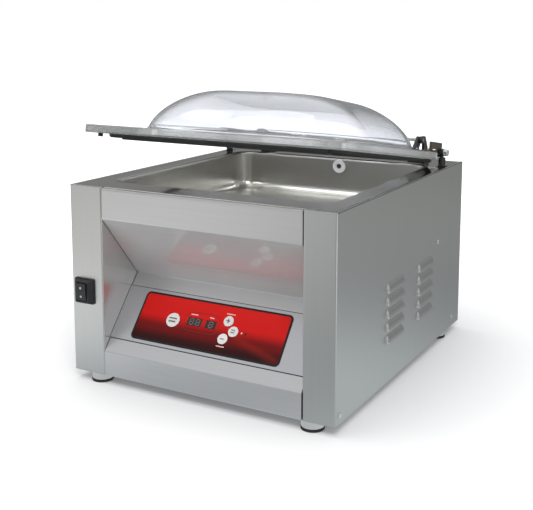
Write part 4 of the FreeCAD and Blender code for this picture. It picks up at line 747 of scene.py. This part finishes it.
slope_marks("label_dashes", [(206, 57.7, 13, 1.6), (239, 58.3, 8, 1.6), (270, 46.6, 16, 1.6),
                             (270, 101, 15, 1.6)], PANEL_FACE, ink_pale)
slope_marks("start_button_dashes", [(170, 70.4, 15, 2.3), (170, 75.8, 13, 2.5)], BUTTON_FACE,
            ink_grey, "start")
slope_marks("plus_button_mark", [(270, 58.5, 7, 1.6), (270, 58.5, 1.6, 7)], BUTTON_FACE,
            ink_grey, "plus")
slope_marks("minus_button_mark", [(270, 89, 7, 1.6)], BUTTON_FACE, ink_grey, "minus")
slope_marks("set_button_mark", [(284, 72, 7, 1.4), (284, 76, 7, 1.4)], BUTTON_FACE,
            ink_grey, "set")
slope_marks("panel_led", [(299, 74, 2.6, 2.6)], PANEL_FACE, ink_pale)
slope_marks("panel_dark_mark", [(306, 74, 3.4, 3.4)], PANEL_FACE, ink_dark)

# ------------------------------------------------------------------ studio, in metres
FLOOR_HALF_SIZE = 14.0
# The floor's own glow for the camera: weak at the object, strong far off.
FLOOR_GLOW_NEAR = 0.02
FLOOR_GLOW_FAR = 0.8
# What the metal sees of the floor: a dim level, and pools of (centre, size, strength).
FLOOR_SHADE = 0.30
FLOOR_POOLS = [((-0.55, -0.55), 0.42, 0.70), ((-1.1, -1.9), 0.9, 1.05), ((0.45, -0.15), 0.42, 0.42),
               ((1.3, 1.0), 0.7, 0.22), ((1.35, -0.78), 0.5, 2.4)]
# The surround's brightness, going once round from the back by the left, front and right.
SURROUND = [(0.0, 0.26), (0.10, 0.28), (0.22, 0.56), (0.36, 0.44), (0.42, 0.50), (0.48, 0.45),
            (0.62, 0.42), (0.68, 1.10), (0.74, 0.42), (0.86, 0.40), (0.93, 0.30), (1.0, 0.26)]
SKY = (0.74, 0.75, 0.77, 1.0)
WHITE = (1.0, 1.0, 1.0, 1.0)
CENTRE = Vector((0.0, 0.0, 0.18))
# Name, place, width and height, power in watts.
LIGHTS = (("key_overhead", (-0.4, -0.2, 2.6), (2.4, 2.4), 60.0),
          ("fill_left", (-2.4, -1.8, 1.2), (1.6, 1.6), 14.0),
          ("fill_front", (1.3, -1.9, 2.3), (1.0, 0.8), 50.0),
          ("fill_right", (2.4, 0.4, 1.0), (1.4, 1.0), 12.0))


def seen_directly(g):
    """1 for what the camera sees, straight or through the clear lid, and 0 for reflections."""
    path = g.add("ShaderNodeLightPath")
    bounces = g.math("ADD", path.outputs["Glossy Depth"], path.outputs["Diffuse Depth"])
    clear_way = g.math("LESS_THAN", bounces, 0.5)
    through = g.math("MULTIPLY", path.outputs["Is Transmission Ray"], clear_way)
    return g.math("MAXIMUM", path.outputs["Is Camera Ray"], through)


def pool(g, x, y, centre, size, strength):
    """A soft round pool of light on the floor."""
    dx = g.math("MULTIPLY", g.math("SUBTRACT", x, centre[0]), 1 / size)
    dy = g.math("MULTIPLY", g.math("SUBTRACT", y, centre[1]), 1 / size)
    square = g.math("ADD", g.math("MULTIPLY", dx, dx), g.math("MULTIPLY", dy, dy))
    return g.math("MULTIPLY", g.math("EXPONENT", g.math("MULTIPLY", square, -1.0)), strength)


def studio_floor():
    """Pale floor.  The metal sees it darker than the camera does, with soft pools of light."""
    material, shader, g = new_material("studio_floor", Roughness=0.9, Emission_Color=WHITE[:3])
    clouds = g.noise(g.position(), 3.0)
    g.link(g.ramp(clouds, [(0.0, 0.54), (1.0, 0.56)]), shader.inputs["Base Color"])
    x, y, _ = g.split(g.position())
    near = pool(g, x, y, (0.0, 0.0), 1.0, 1.0)
    dimming = g.math("MULTIPLY", near, FLOOR_GLOW_NEAR - FLOOR_GLOW_FAR)
    g.link(g.math("ADD", dimming, FLOOR_GLOW_FAR), shader.inputs["Emission Strength"])
    level = FLOOR_SHADE
    for centre, size, strength in FLOOR_POOLS:
        level = g.math("ADD", pool(g, x, y, centre, size, strength), level)
    tone = g.ramp(near, [(0.0, (1.0, 1.0, 0.98)), (0.9, (0.955, 1.0, 1.03))])
    reflected = g.glow("ShaderNodeEmission", tone, level)
    surface = g.mix_shader(seen_directly(g), reflected, shader.outputs[0])
    g.link(surface, material.node_tree.nodes["Material Output"].inputs["Surface"])
    bm = bmesh.new()
    bmesh.ops.create_grid(bm, x_segments=4, y_segments=4, size=FLOOR_HALF_SIZE)
    floor = mesh_object("studio_floor", bm, material)


def area_light(name, place, size, power):
    """A soft light that faces the object, and doesn't show in its metal."""
    light = bpy.data.lights.new(name, "AREA")
    light.shape = "RECTANGLE"
    light.size, light.size_y = size
    light.energy = power
    holder = bpy.data.objects.new(name, light)
    scene.collection.objects.link(holder)
    holder.location = place
    holder.rotation_euler = (CENTRE - Vector(place)).to_track_quat("-Z", "Y").to_euler()
    holder.visible_glossy = False


def studio_world():
    """Soft studio surround, whose sides give each face of the casing its own tone, under a paler
    sky.  The camera sees plain white in its place."""
    world = bpy.data.worlds.new("studio_world")
    scene.world = world
    world.use_nodes = True
    world.node_tree.nodes.clear()
    g = Graph(world.node_tree)
    x, y, z = g.split(g.add("ShaderNodeTexCoord").outputs["Generated"])
    azimuth = g.math("ARCTAN2", x, g.math("MULTIPLY", y, -1.0))
    around = g.ramp(g.math("MULTIPLY_ADD", azimuth, 1 / (2 * math.pi), 0.5), SURROUND)
    low = g.ramp(z, [(0.0, 0.8), (0.3, 0.85)])
    sides = g.mix("RGBA", 1.0, around, low, blend_type="MULTIPLY")
    upper = g.ramp(z, [(0.26, 0.0), (0.56, 1.0)])
    surround = g.glow("ShaderNodeBackground", g.mix("RGBA", upper, sides, SKY), 1.0)
    backdrop = g.glow("ShaderNodeBackground", WHITE, 1.0)
    out = g.add("ShaderNodeOutputWorld")
    g.link(g.mix_shader(seen_directly(g), surround, backdrop), out.inputs["Surface"])


studio_floor()
for settings in LIGHTS:
    area_light(*settings)
studio_world()
scene.view_settings.view_transform = "Standard"

# ------------------------------------------------------------------ camera
# The photograph's width and the lens's focal length in its pixels; the other lengths are in mm.
FRAME_WIDTH = 533.0
FOCAL_LENGTH = 924.1
SENSOR = 36.0
LENS_SHIFT = -0.18
YAW = math.radians(29.265)
PITCH = math.radians(8.281)
CASING_CORNER = Vector((-HALF_WIDTH, FRONT, BASE))
CAMERA_FROM_CORNER = Vector((1005.4, -1138.3, 570.3))

camera_data = bpy.data.cameras.new("studio_camera")
camera_data.sensor_width = SENSOR
camera_data.lens = FOCAL_LENGTH / FRAME_WIDTH * SENSOR
camera_data.shift_y = LENS_SHIFT
camera_data.clip_end = 60.0
camera = bpy.data.objects.new("studio_camera", camera_data)
scene.collection.objects.link(camera)
look = Vector((-math.sin(YAW) * math.cos(PITCH), math.cos(YAW) * math.cos(PITCH), -math.sin(PITCH)))
camera.location = (CASING_CORNER + CAMERA_FROM_CORNER) * MM
camera.rotation_euler = look.to_track_quat("-Z", "Y").to_euler()
scene.camera = camera
